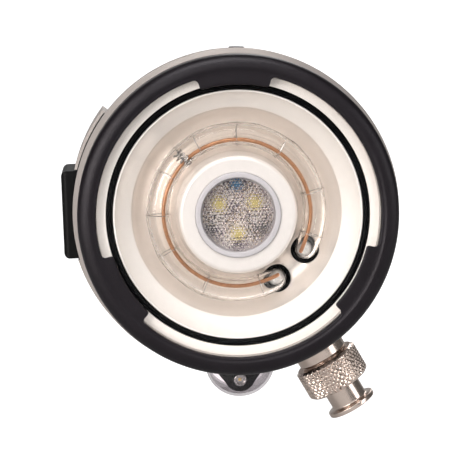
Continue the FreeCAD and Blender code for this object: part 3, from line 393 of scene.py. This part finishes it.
def make_rubber():
    look = Look("bumper_rubber_finish")
    dust = look.noise(90.0, 5.0, 0.6)
    base = look.ramp(dust, [(0.3, (0.0034, 0.0021, 0.0033)), (0.72, (0.0056, 0.0040, 0.0056))])
    look.link(base, look.shader.inputs["Base Color"])
    pores = look.noise(1500.0, 4.0, 0.65)
    waves = look.noise(260.0, 2.0)
    look.link(look.spread(pores, 0.27, 0.42), look.shader.inputs["Roughness"])
    look.bump([(waves, 0.25, 0.06 * MM), (pores, 1.0, 0.12 * MM)])
    look.set(Specular_IOR_Level=0.26, Specular_Tint=(1.0, 0.94, 1.0))
    return look


REFLECTOR_EDGE = 42.4


def make_reflector_white_with_painted_shade():
    """A gloss white dish, a brighter-polished trough that mirrors the tube, and a middle; the trough is
    painted a darker beige and the middle darker still, as painted shade.
    """
    look = solid("reflector_white_painted_shade_finish", (0.88, 0.83, 0.785), 0.3, patch=35.0, depth=0.004,
                 rough_change=0.03, Coat_Weight=1.0, Coat_Roughness=0.03)
    centred = look.add("ShaderNodeVectorMath", operation="SUBTRACT")
    centred.inputs[1].default_value = AXIS
    look.link(look.where, centred.inputs[0])
    flat = look.add("ShaderNodeVectorMath", operation="MULTIPLY")
    flat.inputs[1].default_value = (1, 0, 1)
    look.link(centred.outputs["Vector"], flat.inputs[0])
    reach = look.add("ShaderNodeVectorMath", operation="LENGTH")
    look.link(flat.outputs["Vector"], reach.inputs[0])
    share = look.spread(reach.outputs["Value"], 0.0, 1.0, 0.0, REFLECTOR_EDGE * MM)
    middle_end, trough_start, trough_end, dish_start = 0.44, 0.51, 0.845, 0.865

    def zones(middle, trough, dish):
        return look.ramp(share, [(middle_end, middle), (trough_start, trough), (trough_end, trough),
                                 (dish_start, dish)])

    # Painted shade: the middle is painted much darker and the trough a darker beige than the dish.
    colours = zones((0.71, 0.665, 0.64), (0.90, 0.82, 0.76), (0.96, 0.91, 0.87))
    patches = look.spread(look.noise(35.0, 4.0), 0.0, 0.05)
    look.link(look.mixed(patches, colours, (0.72, 0.64, 0.57)), look.shader.inputs["Base Color"])
    look.link(zones((0.05,) * 3, (0.42,) * 3, (0.08,) * 3), look.shader.inputs["Metallic"])
    return look


def make_signal_led():
    look = solid("led_signal_finish", (0.06, 0.065, 0.08), 0.3, change=0.2, patch=900.0)
    split = look.add("ShaderNodeSeparateXYZ")
    look.link(look.where, split.inputs["Vector"])
    top = look.spread(split.outputs["Z"], 0.0, 1.0, AXIS.z + 2 * MM, AXIS.z + 3 * MM)
    dark = look.two_tone(look.noise(1500.0), (0.05, 0.05, 0.06), (0.09, 0.09, 0.10))
    look.link(look.mixed(top, dark, (0.03, 0.22, 0.45)), look.shader.inputs["Base Color"])
    return look


def make_led_board_painted_glints():
    look = Look("led_board_painted_glints_finish")
    cells = look.add("ShaderNodeTexVoronoi")
    cells.inputs["Scale"].default_value = 1100.0
    look.link(look.where, cells.inputs["Vector"])
    # Painted glints: white, dark, purple and yellow cells under the prisms stand in for the lens's glints and
    # colour fringes.
    stops = [(0.2, (0.01, 0.01, 0.02)), (0.34, (0.22, 0.16, 0.27)), (0.48, (0.60, 0.47, 0.24)),
             (0.58, (0.90, 0.85, 0.86)), (0.7, (1.0, 0.98, 0.96))]
    split = look.add("ShaderNodeSeparateColor")
    look.link(cells.outputs["Color"], split.inputs["Color"])
    look.link(look.ramp(split.outputs["Red"], stops), look.shader.inputs["Base Color"])
    look.link(look.spread(look.noise(2000.0), 0.25, 0.5), look.shader.inputs["Roughness"])
    return look


looks = {
    "bumper_rubber": make_rubber(),
    "black_seal": solid("black_seal_finish", (0.002, 0.002, 0.0024), 0.5, change=0.2,
                        Specular_IOR_Level=0.04),
    "window_clear": see_through("window_clear_finish", (0.995, 0.993, 0.99), (0.9, 0.9, 0.9), 0.02, 0.004),
    "white_ring": solid("white_ring_finish", (0.92, 0.86, 0.81), 0.3, change=0.015, depth=0.008,
                        Coat_Weight=0.1, Coat_Roughness=0.1),
    "reflector_white": make_reflector_white_with_painted_shade(),
    "lens_clear": real_glass("lens_clear_finish", (0.945, 0.93, 0.925), 0.02, 1.49),
    "bezel_grey": solid("bezel_grey_finish", (0.49, 0.465, 0.485), 0.34, change=0.03, depth=0.01),
    "circuit_board": solid("circuit_board_finish", (0.05, 0.22, 0.12), 0.4, change=0.15, patch=400.0),
    "led_white": solid("led_white_finish", (0.80, 0.70, 0.26), 0.35, change=0.15, patch=900.0),
    "led_signal": make_signal_led(),
    "led_board": make_led_board_painted_glints(),
    "aluminium_bare": solid("aluminium_bare_finish", (0.72, 0.72, 0.73), 0.35, 1.0, stretch=(1, 0.05, 1)),
    "tube_glass": real_glass("tube_glass_finish", (0.985, 0.97, 0.955), 0.0, 1.47),
    "electrode_grey": solid("electrode_grey_finish", (0.86, 0.84, 0.84), 0.35, 0.35, change=0.2, patch=700.0),
    "trigger_copper": solid("trigger_copper_finish", (0.42, 0.20, 0.10), 0.3, 0.6, change=0.2, patch=260.0,
                            Coat_Weight=0.25),
    "loop_wire": solid("loop_wire_finish", (0.50, 0.47, 0.45), 0.2, 1.0, change=0.35, patch=500.0),
    "knot_wire": solid("knot_wire_finish", (0.40, 0.37, 0.35), 0.16, 1.0, change=0.5, patch=700.0),
    "anodised_grey": solid("anodised_grey_finish", (0.47, 0.42, 0.395), 0.44, 0.6, change=0.05, patch=45.0,
                           grain=3200.0, depth=0.015),
    "black_anodised": solid("black_anodised_finish", (0.0065, 0.006, 0.006), 0.4, change=0.15, grain=3200.0,
                            depth=0.015, Specular_IOR_Level=0.24),
    "shoe_black": solid("shoe_black_finish", (0.0024, 0.0022, 0.0024), 0.4, change=0.2, grain=2600.0,
                        depth=0.02, Specular_IOR_Level=0.12),
    "stainless": solid("stainless_finish", (0.56, 0.55, 0.54), 0.28, 1.0, change=0.06, stretch=(1, 0.1, 1)),
    "sensor_clear": see_through("sensor_clear_finish", (0.975, 0.955, 0.965), (0.52, 0.50, 0.51), 0.07,
                                0.018),
    "black_plastic": solid("black_plastic_finish", (0.005, 0.005, 0.0055), 0.45, change=0.2, depth=0.03,
                           Specular_IOR_Level=0.2),
    "nickel": solid("nickel_finish", (0.72, 0.60, 0.53), 0.22, 1.0, change=0.08, patch=120.0, depth=0.01),
    "gold_contacts": solid("gold_contacts_finish", (0.83, 0.62, 0.27), 0.25, 1.0),
    "cell_label": solid("cell_label_finish", (0.30, 0.33, 0.36), 0.3, change=0.1),
    "status_lens": real_glass("status_lens_finish", (0.62, 0.85, 0.68), 0.08, 1.49),
    "capacitor_sleeve": solid("capacitor_sleeve_finish", (0.05, 0.06, 0.12), 0.35, change=0.1),
}
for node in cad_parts.values():
    cad_slot = node.data.materials[0].name.split(".")[0]
    for number in range(len(node.data.materials)):
        node.data.materials[number] = looks[cad_slot].material
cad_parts["led_board"].data.materials[0] = looks["led_board"].material
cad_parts["mount_shoe"].data.materials[0] = looks["shoe_black"].material


# Bumper

LOBES = (0, 120, 240)
LOBE_HALF = 15.0
INNER, LOBE_TIP, OUTER = 48.2, 44.4, 54.5
ROOT_ROUND, TIP_ROUND = 1.7, 1.0
CROWN_ACROSS, CROWN_DEEP, CROWN_STEPS = 4.4, 3.1, 12
CROWN_EDGE, BUMPER_BACK = 49.55, 13.9


def lobe_reach(clock):
    """The inner radius of the bumper at a clock angle: three flaps reach in over the window."""
    away = min(abs((clock - lobe + 180) % 360 - 180) for lobe in LOBES)
    past = math.radians(away - LOBE_HALF) * INNER
    if past >= ROOT_ROUND:
        return INNER
    if past >= 0:
        return INNER - (ROOT_ROUND - math.sqrt(ROOT_ROUND ** 2 - (ROOT_ROUND - past) ** 2))
    if past > -TIP_ROUND:
        return LOBE_TIP + TIP_ROUND - math.sqrt(TIP_ROUND ** 2 - (TIP_ROUND + past) ** 2)
    return LOBE_TIP


def bumper_section(reach):
    """The bumper's cross-section where its inner edge is at this radius."""
    share = (INNER - reach) / (INNER - LOBE_TIP)
    points = []
    for step in range(CROWN_STEPS + 1):
        turn = math.radians(90 * step / CROWN_STEPS)
        points.append((OUTER - CROWN_ACROSS * (1 - math.sin(turn)), CROWN_DEEP * (1 - math.cos(turn))))
    points.reverse()
    points += [(CROWN_EDGE + 0.3, 0.05), (CROWN_EDGE, 0.2)]
    dip, flat_steps = 0.34 + 0.1 * share, 6
    start, end = CROWN_EDGE - 0.4, reach + 0.6
    for step in range(flat_steps + 1):
        points.append((start + (end - start) * step / flat_steps, dip if step else 0.33))
    points += [(reach + 0.3, dip + 0.07), (reach + 0.09, dip + 0.24), (reach, 0.9), (reach + 0.03, 1.14),
               (reach + 0.14, 1.28), (reach + 0.14 + 0.2 * share, 1.35)]
    points += [(INNER, 1.37 + 0.1 * (1 - share)), (INNER, 3.2), (51.0, 3.2), (51.0, 8.6), (50.5, 8.75),
               (50.5, 10.25), (51.0, 10.4), (51.0, BUMPER_BACK)]
    points += [(OUTER - 0.3, BUMPER_BACK), (OUTER, BUMPER_BACK - 0.3), (OUTER, 9.0)]
    return points


def make_bumper():
    """A section at every degree, every 0.1 mm round a flap's corners, and just to each side of its edge."""
    clocks = [float(step) for step in range(360)]
    spacing, hair = 0.1, 1e-3
    for lobe in LOBES:
        for side in (-1, 1):
            for step in range(-12, 20):
                away = LOBE_HALF + math.degrees(spacing * step / INNER)
                clocks.append((lobe + side * away) % 360)
            for away in (-hair, hair):
                clocks.append((lobe + side * (LOBE_HALF + away)) % 360)
    clocks = sorted(set(round(clock, 4) for clock in clocks))
    shape = spun(lambda clock: bumper_section(lobe_reach(clock)), clocks)
    piece("bumper_ring", shape, "bumper_rubber", "lamp_body", ["front_bumper"], sharp=50.0)


make_bumper()


# Window seat

def make_seat():
    ring = rounded([(44.9, 5.44, 0.12), (48.05, 5.44, 0.05), (48.05, 7.6), (44.9, 7.6)], 3)
    piece("seat_ring", lathe(ring, 180), "white_ring", "lamp_body", ["window_seat_ring"])


make_seat()


# LED light

def make_lens():
    radius, front, back, pitch, rise = 12.66, 6.4, 8.4, 1.05, 0.34
    shapes = [lathe(rounded([(0, front), (radius, front, 0.15), (radius, back), (0, back)], 3), 96)]
    corner_reach, rim_room = pitch * 0.577, pitch * 0.62
    rows = int(radius / pitch) + 2
    for row in range(-rows, rows + 1):
        for column in range(-rows, rows + 1):
            x = (column + 0.5 * (row % 2)) * pitch
            z = row * pitch * math.sqrt(3) / 2
            if math.hypot(x, z) > radius - rim_room:
                continue
            rim = [Vector((x + corner_reach * math.sin(math.radians(60 * side)), front + 0.01,
                           z + corner_reach * math.cos(math.radians(60 * side)))) for side in range(6)]
            tip = Vector((x, front - rise, z))
            shapes.append((rim + [tip], [(side, (side + 1) % 6, 6) for side in range(6)] + [tuple(range(6))]))
    piece("lens_prisms", together(*shapes), "lens_clear", "lamp_body", ["led_lens"], sharp=10.0)
    bezel = rounded([(12.7, 5.6, 0.4), (14.6, 5.6, 0.45), (14.6, 11.5), (12.0, 11.5), (12.0, 8.4),
                     (12.7, 8.4)])
    piece("bezel_ring", lathe(bezel, 128), "bezel_grey", "lamp_body", ["led_bezel"])


make_lens()


# Flash tube

RING, RING_DEPTH, BEND, LEG_END = 27.0, 16.5, 5.5, 30.0
TUBE_RADIUS, BORE_RADIUS, END_WALL = 3.98, 2.9, 0.9
WIRE_IN, WIRE_FRONT = 1.8, 4.24
LEGS = ((121.5, -1), (151.0, 1))
BEND_ANGLE = math.degrees(math.atan2(BEND, RING))


def tube_points(offset_in=0.0, offset_front=0.0, leg_end=LEG_END, bend_end=90.0):
    """The tube's centre line from one leg over the top to the other, or a line at an offset beside it."""
    ends, bend_steps, ring_steps = [], 12, 140
    for clock, way in LEGS:
        start_clock = clock + way * BEND_ANGLE
        inward = -around(start_clock)
        toward = (around(clock, math.hypot(RING, BEND)) - around(start_clock, RING)).normalized()
        start = around(start_clock, RING, RING_DEPTH) + inward * offset_in
        points = []
        for step in range(bend_steps + 1):
            turn = math.radians(bend_end * step / bend_steps)
            reach = BEND + offset_front
            points.append(start + toward * reach * math.sin(turn)
                          + Vector((0, BEND - reach * math.cos(turn), 0)))
        if bend_end == 90.0:
            points.append(Vector((points[-1].x, leg_end, points[-1].z)))
        ends.append((start_clock, points))
    (clock_a, leg_a), (clock_b, leg_b) = ends
    span = 360 - clock_b + clock_a
    ring = [around(clock_a - span * step / ring_steps, RING - offset_in, RING_DEPTH - offset_front)
            for step in range(1, ring_steps)]
    return list(reversed(leg_a)) + ring + leg_b


def make_tube():
    outer = sweep(tube_points(), TUBE_RADIUS, 40)
    bore = sweep(tube_points(leg_end=LEG_END - END_WALL), BORE_RADIUS, 32)
    bore = (bore[0], [tuple(reversed(face)) for face in bore[1]])
    piece("xenon_tube", together(outer, bore), "tube_glass", "lamp_body",
          ["flash_tube"], sharp=50.0, hollow=True)


def make_trigger_wire():
    """The copper wire along the tube's front, with a slight random sway."""
    path = tube_points(WIRE_IN, WIRE_FRONT, bend_end=40.0)
    amount, reach, divisor, wire_radius = 0.06, 4, 4, 0.66
    sway = [Vector((random.uniform(-1, 1), 0, random.uniform(-1, 1))) * amount for _ in path]
    for number, point in enumerate(path):
        nearby = (sway[(number + step) % len(sway)] for step in range(-reach, reach + 1))
        path[number] = point + sum(nearby, Vector()) / divisor
    piece("copper_trigger_wire", sweep(path, wire_radius, 14), "trigger_copper", "lamp_body",
          ["trigger_wire"])


def make_trigger_loops():
    """Thin wire: loops that tie the copper wire to the tube, and two long strands beside the tube."""
    shapes = []
    toward_wire = math.atan2(WIRE_FRONT, -WIRE_IN)
    loop_steps, loop_reach, over_wire, over_width, loop_radius = 48, 4.2, 1.25, 0.3, 0.14
    for clock in (2, 37, 77, 109, 163.5, 205, 242, 270, 300, 318, 332):
        lean = random.uniform(-0.35, 0.35)
        loop = []
        tangent = around(clock + 90)
        for step in range(loop_steps):
            turn = math.tau * step / loop_steps
            gap = (turn - toward_wire + math.pi) % math.tau - math.pi
            reach = loop_reach + over_wire * math.exp(-(gap / over_width) ** 2)
            loop.append(around(clock, RING + reach * math.cos(turn), RING_DEPTH - reach * math.sin(turn))
                        + tangent * lean * math.sin(turn * 2 + clock))
        shapes.append(sweep(loop, loop_radius, 8, closed=True))
    strand_points, strand_radius = 150, 0.09
    for radius, depth, first, last, ripple in ((23.55, 13.6, 170, 465, 0.16), (30.9, 14.6, 190, 420, 0.14)):
        line = []
        for step in range(strand_points):
            clock = first + (last - first) * step / (strand_points - 1)
            wave = ripple * (math.sin(clock * 0.19) + 0.5 * math.sin(clock * 0.47 + 1))
            line.append(around(clock, radius + wave, depth + wave * 0.5))
        shapes.append(sweep(line, strand_radius, 8))
    piece("trigger_wire_loops", together(*shapes), "loop_wire", "lamp_body", ["trigger_loops"])


def make_trigger_knot():
    """Three strands wound round one another where the wire is tied off."""
    shapes = []
    knot_clock, steps, length, strand_radius = 317.5, 64, 6.0, 0.19
    knot = around(knot_clock, RING - 1.2, RING_DEPTH - 5.1)
    along, outward, ahead = around(knot_clock + 90), around(knot_clock), Vector((0, 1, 0))
    for phase, swell in ((0.0, 1.15), (math.tau / 3, 0.8), (math.tau * 2 / 3, 0.95)):
        strand = []
        for step in range(steps):
            turn = step * 0.5 + phase
            drift = (outward * (step / (steps - 1) * length - 2.6)
                     + along * math.sin(step * 0.11 + phase) * 0.9)
            strand.append(knot + drift + (along * math.cos(turn) + ahead * math.sin(turn) * 0.6) * swell)
        shapes.append(sweep(strand, strand_radius, 8))
    piece("trigger_wire_knot", together(*shapes), "loop_wire", "lamp_body", finish="knot_wire")


def make_tube_ends():
    electrodes, grommets = [], []
    for clock, _way in LEGS:
        spot = Matrix.Translation(around(clock, math.hypot(RING, BEND)))
        outline = rounded([(0, 19.6), (1.5, 19.6, 0.7), (2.7, 20.9, 0.9), (2.7, 23.2, 0.2), (2.1, 23.5, 0.1),
                           (2.1, 24.1, 0.1), (2.7, 24.4, 0.2), (2.7, 29.0), (0.6, 29.0), (0.6, 34.0),
                           (0, 34.0)])
        electrodes.append(moved(lathe(outline, 48), spot))
        outline = rounded([(4.05, 20.1, 0.35), (4.95, 20.1, 0.42), (4.95, 21.0, 0.3), (4.32, 21.0),
                           (4.32, 25.2), (4.95, 25.2, 0.3), (4.95, 26.4, 0.3), (4.05, 26.4, 0.2)], 6)
        grommets.append(moved(lathe(outline, 64), spot))
    piece("electrode_pair", together(*electrodes), "electrode_grey", "lamp_body", ["tube_electrodes"])
    piece("grommet_pair", together(*grommets), "black_seal", "lamp_body", ["tube_grommets"])


make_tube()
make_trigger_wire()
make_trigger_loops()
make_trigger_knot()
make_tube_ends()


# Sync connector

SOCKET_CLOCK = 151.2
SOCKET = pointing(SOCKET_CLOCK, middle_of("coupling_nut").y)


def make_knurled_nut():
    bore, hole, radius = 7.5, 6.7, 11.7
    foot, top, floor, chamfer = 63.5, 74.6, 72.5, 0.9
    groove, count, rows, flat = 0.42, 35, 50, 0.3
    pitch = math.tau * radius / count

    def section(clock):
        points = [(radius - chamfer - 0.15, foot + 0.02), (radius - 0.5, foot + chamfer * 0.6)]
        for row in range(rows + 1):
            along = foot + chamfer + (top - foot - 2 * chamfer) * row / rows
            across, up = clock * count / 360, (along - foot) / pitch
            first, second = (across + up) % 1.0, (across - up) % 1.0
            height = min(abs(first - 0.5), abs(second - 0.5), flat) / flat
            points.append((radius - groove * (1 - height), along))
        points += [(radius - 0.5, top - chamfer * 0.6), (radius - chamfer - 0.15, top - 0.02),
                   (radius - chamfer - 0.5, top), (hole + 0.3, top), (hole, top - 0.3), (hole, floor),
                   (bore, floor), (bore, foot + 0.4), (bore + 0.4, foot), (radius - chamfer - 0.5, foot)]
        return points

    piece("knurled_nut", spun(section, even_clocks(count * 10)), "nickel", "nut",
          ["coupling_nut"], place=SOCKET, sharp=24.0)


def make_plug():
    outline = rounded([(0, 58.7), (4.93, 58.7, 0.4), (4.93, 63.58), (3.5, 63.58), (3.5, 65.02), (4.93, 65.02),
                       (4.93, 70.4), (7.15, 70.4, 0.2), (7.15, 72.35, 0.2), (6.6, 72.35), (6.6, 81.6, 0.5),
                       (8.9, 82.0, 0.35), (8.9, 83.7, 0.45), (5.5, 83.7, 0.2), (5.2, 83.3, 0.2), (0, 83.3)])
    piece("sync_plug_body", lathe(outline, 96), "nickel", "plug", ["sync_plug"], place=SOCKET)
    outline = rounded([(4.0, 38.0), (5.9, 38.0, 0.3), (5.9, 53.0), (8.1, 53.0), (8.1, 51.5), (9.1, 51.5, 0.1),
                       (9.1, 62.9, 0.6), (7.4, 62.9, 0.3), (7.4, 70.2, 0.4), (5.0, 70.2, 0.2), (5.0, 55.5),
                       (4.0, 55.5)])
    piece("socket_collar", lathe(outline, 96), "nickel", "lamp_body", ["bulkhead_socket"], place=SOCKET)


make_knurled_nut()
make_plug()


# Sensor

def make_photodiode():
    spot = middle_of("photodiode")
    place = shifted(right=spot.x, up=spot.z)
    front, back, radius, window = 29.2, 34.5, 2.45, 1.5
    can = rounded([(window, front, 0.3), (radius - 0.2, front, 0.6), (radius - 0.2, back - 1.0),
                   (radius, back - 1.0, 0.1), (radius, back, 0.1), (0, back), (0, front + 1.6),
                   (window, front + 1.6)])
    piece("photodiode_can", lathe(can, 64), "stainless", "lamp_body", ["photodiode"], place=place)
    floor = box_shape((-1.05, front + 1.5, -1.05), (1.05, front + 1.62, 1.05))
    piece("photodiode_floor", floor, "stainless", "lamp_body", place=place)
    die = together(box_shape((-0.6, front + 1.3, -0.5), (0.4, front + 1.5, 0.5)),
                   sweep([Vector((0.3, front + 1.3, 0.3)), Vector((0.6, front + 0.9, 0.5)),
                          Vector((0.9, front + 1.5, 0.7))], 0.07, 6))
    piece("photodiode_die", die, "gold_contacts", "lamp_body", place=place)


make_photodiode()


# Rear controls

KNOB_RADIUS, CAP_RADIUS, FLUTE_RADIUS, FLUTE_OUT = 11.0, 23.0, 2.0, 1.0


def scalloped(clock, radius, flutes):
    """The radius of a grip at a clock angle, with round flutes between its lobes."""
    pitch = 360 / flutes
    away = math.radians((clock % pitch) - pitch / 2)
    middle = radius + FLUTE_OUT
    inside = FLUTE_RADIUS ** 2 - (middle * math.sin(away)) ** 2
    if inside <= 0:
        return radius
    return min(radius, middle * math.cos(away) - math.sqrt(inside))


def make_knob(name, body):
    spot = middle_of(f"{name}_knob")
    place = shifted(right=spot.x, up=spot.z)
    front, skirt, back, bore, bore_back = 124.6, 127.0, 137.0, 3.0, 135.2

    def section(clock):
        grip = scalloped(clock, KNOB_RADIUS, 8)
        return rounded([(bore, front), (KNOB_RADIUS, front, 0.3), (KNOB_RADIUS, skirt, 0.25),
                        (grip - 0.02, skirt), (grip - 0.02, back, 0.9), (grip - 3.2, back, 0.3),
                        (grip - 3.5, back - 0.35, 0.3), (0, back - 0.35), (0, bore_back),
                        (bore, bore_back)], 4)

    piece(f"{name}_dial", spun(section, even_clocks(320)), "black_anodised",
          body, [f"{name}_knob"], place=place)
    pointer = box_shape((-0.45, back - 0.4, 1.6), (0.45, back - 0.27, 7.2))
    piece(f"{name}_pointer", pointer, "white_ring", body, place=place)


def make_dial_marks():
    """Dots on the rear cover at every 30 degrees of each knob's range."""
    dots = []
    dot_radius, circle, foot, top = 0.45, 13.0, 123.9, 124.06
    for name, first, last in (("mode", -60, 120), ("power", -150, 150)):
        spot = middle_of(f"{name}_knob")
        for clock in range(first, last + 1, 30):
            dot = lathe([(0, foot), (dot_radius, foot), (dot_radius, top), (0, top)], 16)
            where = around(clock, circle) + Vector((spot.x, 0, spot.z))
            dots.append(moved(dot, Matrix.Translation(where)))
    piece("dial_marks", together(*dots), "white_ring", "lamp_body")


def screw_shape(head, foot, top, socket, shank, end):
    """A cap screw with a hex socket; top is its head's outer face, and it reaches down to its end."""
    socket_depth = 1.3
    floor = top - socket_depth

    def section(clock):
        flat = socket / math.cos(math.radians(clock % 60 - 30))
        return rounded([(0, floor), (flat, floor), (flat, top), (head, top, 0.35), (head, foot, 0.1),
                        (shank, foot), (shank, end), (0, end)], 4)

    return spun(section, even_clocks(48))


def make_screws():
    rear_circle, shoe_along, shoe_up = 47.5, 11.6, 10.4
    rear = screw_shape(2.35, 122.4, 124.8, 1.0, 1.5, 112.4)
    ring = [moved(rear, Matrix.Translation(around(clock, rear_circle))) for clock in range(0, 360, 60)]
    piece("rear_cap_screws", together(*ring), "stainless", "lamp_body", ["rear_screws"])
    shoe = screw_shape(2.65, 56.9, 59.7, 1.2, 1.5, 48.9)
    middle = middle_of("shoe_screws").y
    turn = Vector((0, 1, 0)).rotation_difference(around(270)).to_matrix().to_4x4()
    shapes = []
    for along in (-shoe_along, shoe_along):
        for up in (-shoe_up, shoe_up):
            shapes.append(moved(shoe, Matrix.Translation((0, middle + along, up)) @ turn))
    piece("shoe_cap_screws", together(*shapes), "stainless", "lamp_body", ["shoe_screws"])


def make_button():
    spot = middle_of("test_button")
    place = shifted(right=spot.x, up=spot.z)
    cap = rounded([(0, 101.2), (1.9, 101.2, 0.2), (1.9, 124.7), (4.2, 124.7, 0.2), (4.2, 127.6, 0.7),
                   (3.0, 127.6, 0.5), (2.4, 127.25, 0.5), (0, 127.15)])
    piece("test_button_cap", lathe(cap, 64), "black_anodised", "button", ["test_button"], place=place)
    foot, head, wire, ring, turns, steps, closed_end = 121.2, 124.7, 0.28, 2.75, 3, 96, 0.12
    helix = []
    for step in range(steps + 1):
        share = step / steps
        rise = min(max((share - closed_end) / (1 - 2 * closed_end), 0.0), 1.0)
        helix.append(around(360 * turns * share, ring, foot + wire + (head - foot - 2 * wire) * rise))
    spring = piece("button_coil", sweep(helix, wire, 10), "stainless", "lamp_body",
                   ["button_spring"], place=place)
    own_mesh(spring)
    light = middle_of("status_light")
    lens = rounded([(0, 96.0), (2.2, 96.0), (2.2, 124.0), (2.05, 124.3, 0.3), (1.2, 124.62, 0.8), (0, 124.7)])
    piece("status_lens", lathe(lens, 48), "window_clear", "lamp_body", ["status_light"],
          place=shifted(right=light.x, up=light.z), finish="status_lens")


def cut_away(thing, shape):
    """Cut a closed shape out of a piece's mesh."""
    mesh = bpy.data.meshes.new("cutter")
    mesh.from_pydata([tuple(vertex) for vertex in shape[0]], [], shape[1])
    cutter = bpy.data.objects.new("cutter", mesh)
    bpy.context.scene.collection.objects.link(cutter)
    cut = thing.modifiers.new("cut", "BOOLEAN")
    cut.operation = "DIFFERENCE"
    cut.solver = "EXACT"
    cut.object = cutter
    bpy.context.view_layer.update()
    evaluated = thing.evaluated_get(bpy.context.evaluated_depsgraph_get())
    result = bpy.data.meshes.new_from_object(evaluated)
    thing.modifiers.clear()
    thing.data = result
    bpy.data.objects.remove(cutter)
    bpy.data.meshes.remove(mesh)
    result.set_sharp_from_angle(angle=math.radians(32.0))


def make_battery_cap():
    spot = middle_of("battery_cap")
    place = shifted(right=spot.x, up=spot.z)

    def section(clock):
        grip = scalloped(clock, CAP_RADIUS, 12)
        return rounded([(2.45, 122.0), (16.2, 122.0), (16.2, 117.6), (18.3, 117.6, 0.3), (18.3, 119.55),
                        (16.7, 119.55), (16.7, 121.25), (18.3, 121.25), (18.3, 124.5), (grip, 124.5, 0.3),
                        (grip, 133.0, 1.1), (4.65, 133.0, 0.2), (4.65, 128.85), (2.45, 128.85)], 4)

    cap = piece("battery_screw_cap", spun(section, even_clocks(360)), "black_anodised", "cap",
                ["battery_cap"], place=place)
    corners, faces = box_shape((-15.0, 130.8, -1.3), (15.0, 135.0, 1.3))
    cut_away(cap, ([place @ (Vector(corner) * MM) for corner in corners], faces))


make_knob("mode", "mode_dial")
make_knob("power", "power_dial")
make_dial_marks()
make_screws()
make_button()
make_battery_cap()


# Stage: a pale lit floor that curves up behind the lamp, soft lights and the camera

FOCUS = AXIS + Vector((0, 0.006, 0))


def make_stage():
    pulled_plug_room = 0.012
    floor_z = cad_box[0].z - pulled_plug_room
    width, near, far, height, bend, steps = 3.2, -1.6, 1.5, 2.4, 0.5, 16
    line = [(near, floor_z), (far - bend, floor_z)]
    for step in range(1, steps + 1):
        turn = math.radians(90 * step / steps)
        line.append((far - bend + bend * math.sin(turn), floor_z + bend - bend * math.cos(turn)))
    line.append((far, floor_z + height))
    mesh = bpy.data.meshes.new("studio_sweep")
    vertices = [(AXIS.x + side * width / 2, y, z) for y, z in line for side in (-1, 1)]
    faces = [(2 * row, 2 * row + 1, 2 * row + 3, 2 * row + 2) for row in range(len(line) - 1)]
    mesh.from_pydata(vertices, [], faces)
    mesh.shade_smooth()
    look = Look("studio_sweep_finish")
    soft = look.noise(3.0, 2.0)
    look.link(look.two_tone(soft, (0.44,) * 3, (0.46,) * 3), look.shader.inputs["Base Color"])
    look.set(Roughness=0.9, Emission_Color=(1.0, 1.0, 1.0))
    seen = look.add("ShaderNodeLightPath").outputs["Is Camera Ray"]
    look.link(look.spread(seen, 0.12, 1.0, 0.0, 1.0), look.shader.inputs["Emission Strength"])
    mesh.materials.append(look.material)
    sweep_floor = bpy.data.objects.new("studio_sweep", mesh)
    bpy.context.scene.collection.objects.link(sweep_floor)


def add_light(name, place, aim, size, energy, colour):
    light = bpy.data.lights.new(name, "AREA")
    light.shape = "RECTANGLE"
    light.size, light.size_y = size
    light.energy = energy
    light.color = colour
    thing = bpy.data.objects.new(name, light)
    bpy.context.scene.collection.objects.link(thing)
    thing.location = place
    thing.rotation_mode = "QUATERNION"
    thing.rotation_quaternion = (aim - place).to_track_quat("-Z", "Y")


WARM, WHITE = (1.0, 0.97, 0.94), (1.0, 1.0, 1.0)
SOFTBOXES = (
    # name, place from the lamp's front, size, watts, colour
    ("left_softbox", (-0.75, -0.6, 0.25), (0.35, 0.7), 4.0, WARM),
    ("top_softbox", (-0.05, -0.5, 0.85), (0.7, 0.4), 7.6, WHITE),
    ("right_softbox", (0.85, -0.55, 0.1), (0.4, 0.8), 3.0, WHITE),
    ("rim_softbox", (-0.62, -1.0, 0.2), (0.2, 0.55), 5.0, WARM),
    ("low_softbox", (0.0, -0.5, -0.8), (0.8, 0.3), 4.4, WHITE),
    ("back_softbox", (0.3, 1.0, 0.7), (0.6, 0.6), 3.0, WHITE),
    ("front_softbox", (0.0, -1.2, 0.5), (1.3, 0.7), 4.2, WHITE),
)


def make_lights():
    for name, offset, size, watts, colour in SOFTBOXES:
        add_light(name, FOCUS + Vector(offset), FOCUS, size, watts, colour)
    world = bpy.data.worlds.new("studio")
    bpy.context.scene.world = world
    world.use_nodes = True
    tree = world.node_tree
    background = tree.nodes["Background"]
    background.inputs["Color"].default_value = (1, 1, 1, 1)
    seen = tree.nodes.new("ShaderNodeLightPath").outputs["Is Camera Ray"]
    strength = tree.nodes.new("ShaderNodeMapRange")
    strength.inputs["To Min"].default_value = 0.12
    tree.links.new(seen, strength.inputs["Value"])
    tree.links.new(strength.outputs["Result"], background.inputs["Strength"])


def make_camera():
    """The camera looks from a little above and left, and aims a little left of and below the lamp's axis."""
    tilt, toward, roll, distance = math.radians(7.0), 332.0, math.radians(2.0), 0.7
    aim_left, aim_down = 2.814 * MM, 5.085 * MM
    back = Vector((0, -math.cos(tilt), 0)) + around(toward, math.sin(tilt))
    camera = bpy.data.cameras.new("camera")
    camera.sensor_width = 36.0
    camera.lens = 161.6
    camera.clip_start, camera.clip_end = 0.05, 10.0
    thing = bpy.data.objects.new("camera", camera)
    bpy.context.scene.collection.objects.link(thing)
    turn = (-back).to_track_quat("-Z", "Y").to_matrix()
    turn = turn @ Matrix.Rotation(-roll, 3, "Z")
    aim = FOCUS - turn.col[0] * aim_left - turn.col[1] * aim_down
    thing.location = FOCUS + back * distance
    look_along = (aim - thing.location).normalized()
    swing = (-turn.col[2]).rotation_difference(look_along).to_matrix()
    thing.matrix_world = Matrix.Translation(thing.location) @ (swing @ turn).to_4x4()
    bpy.context.scene.camera = thing


make_stage()
make_lights()
make_camera()
bpy.context.scene.view_settings.view_transform = "Standard"
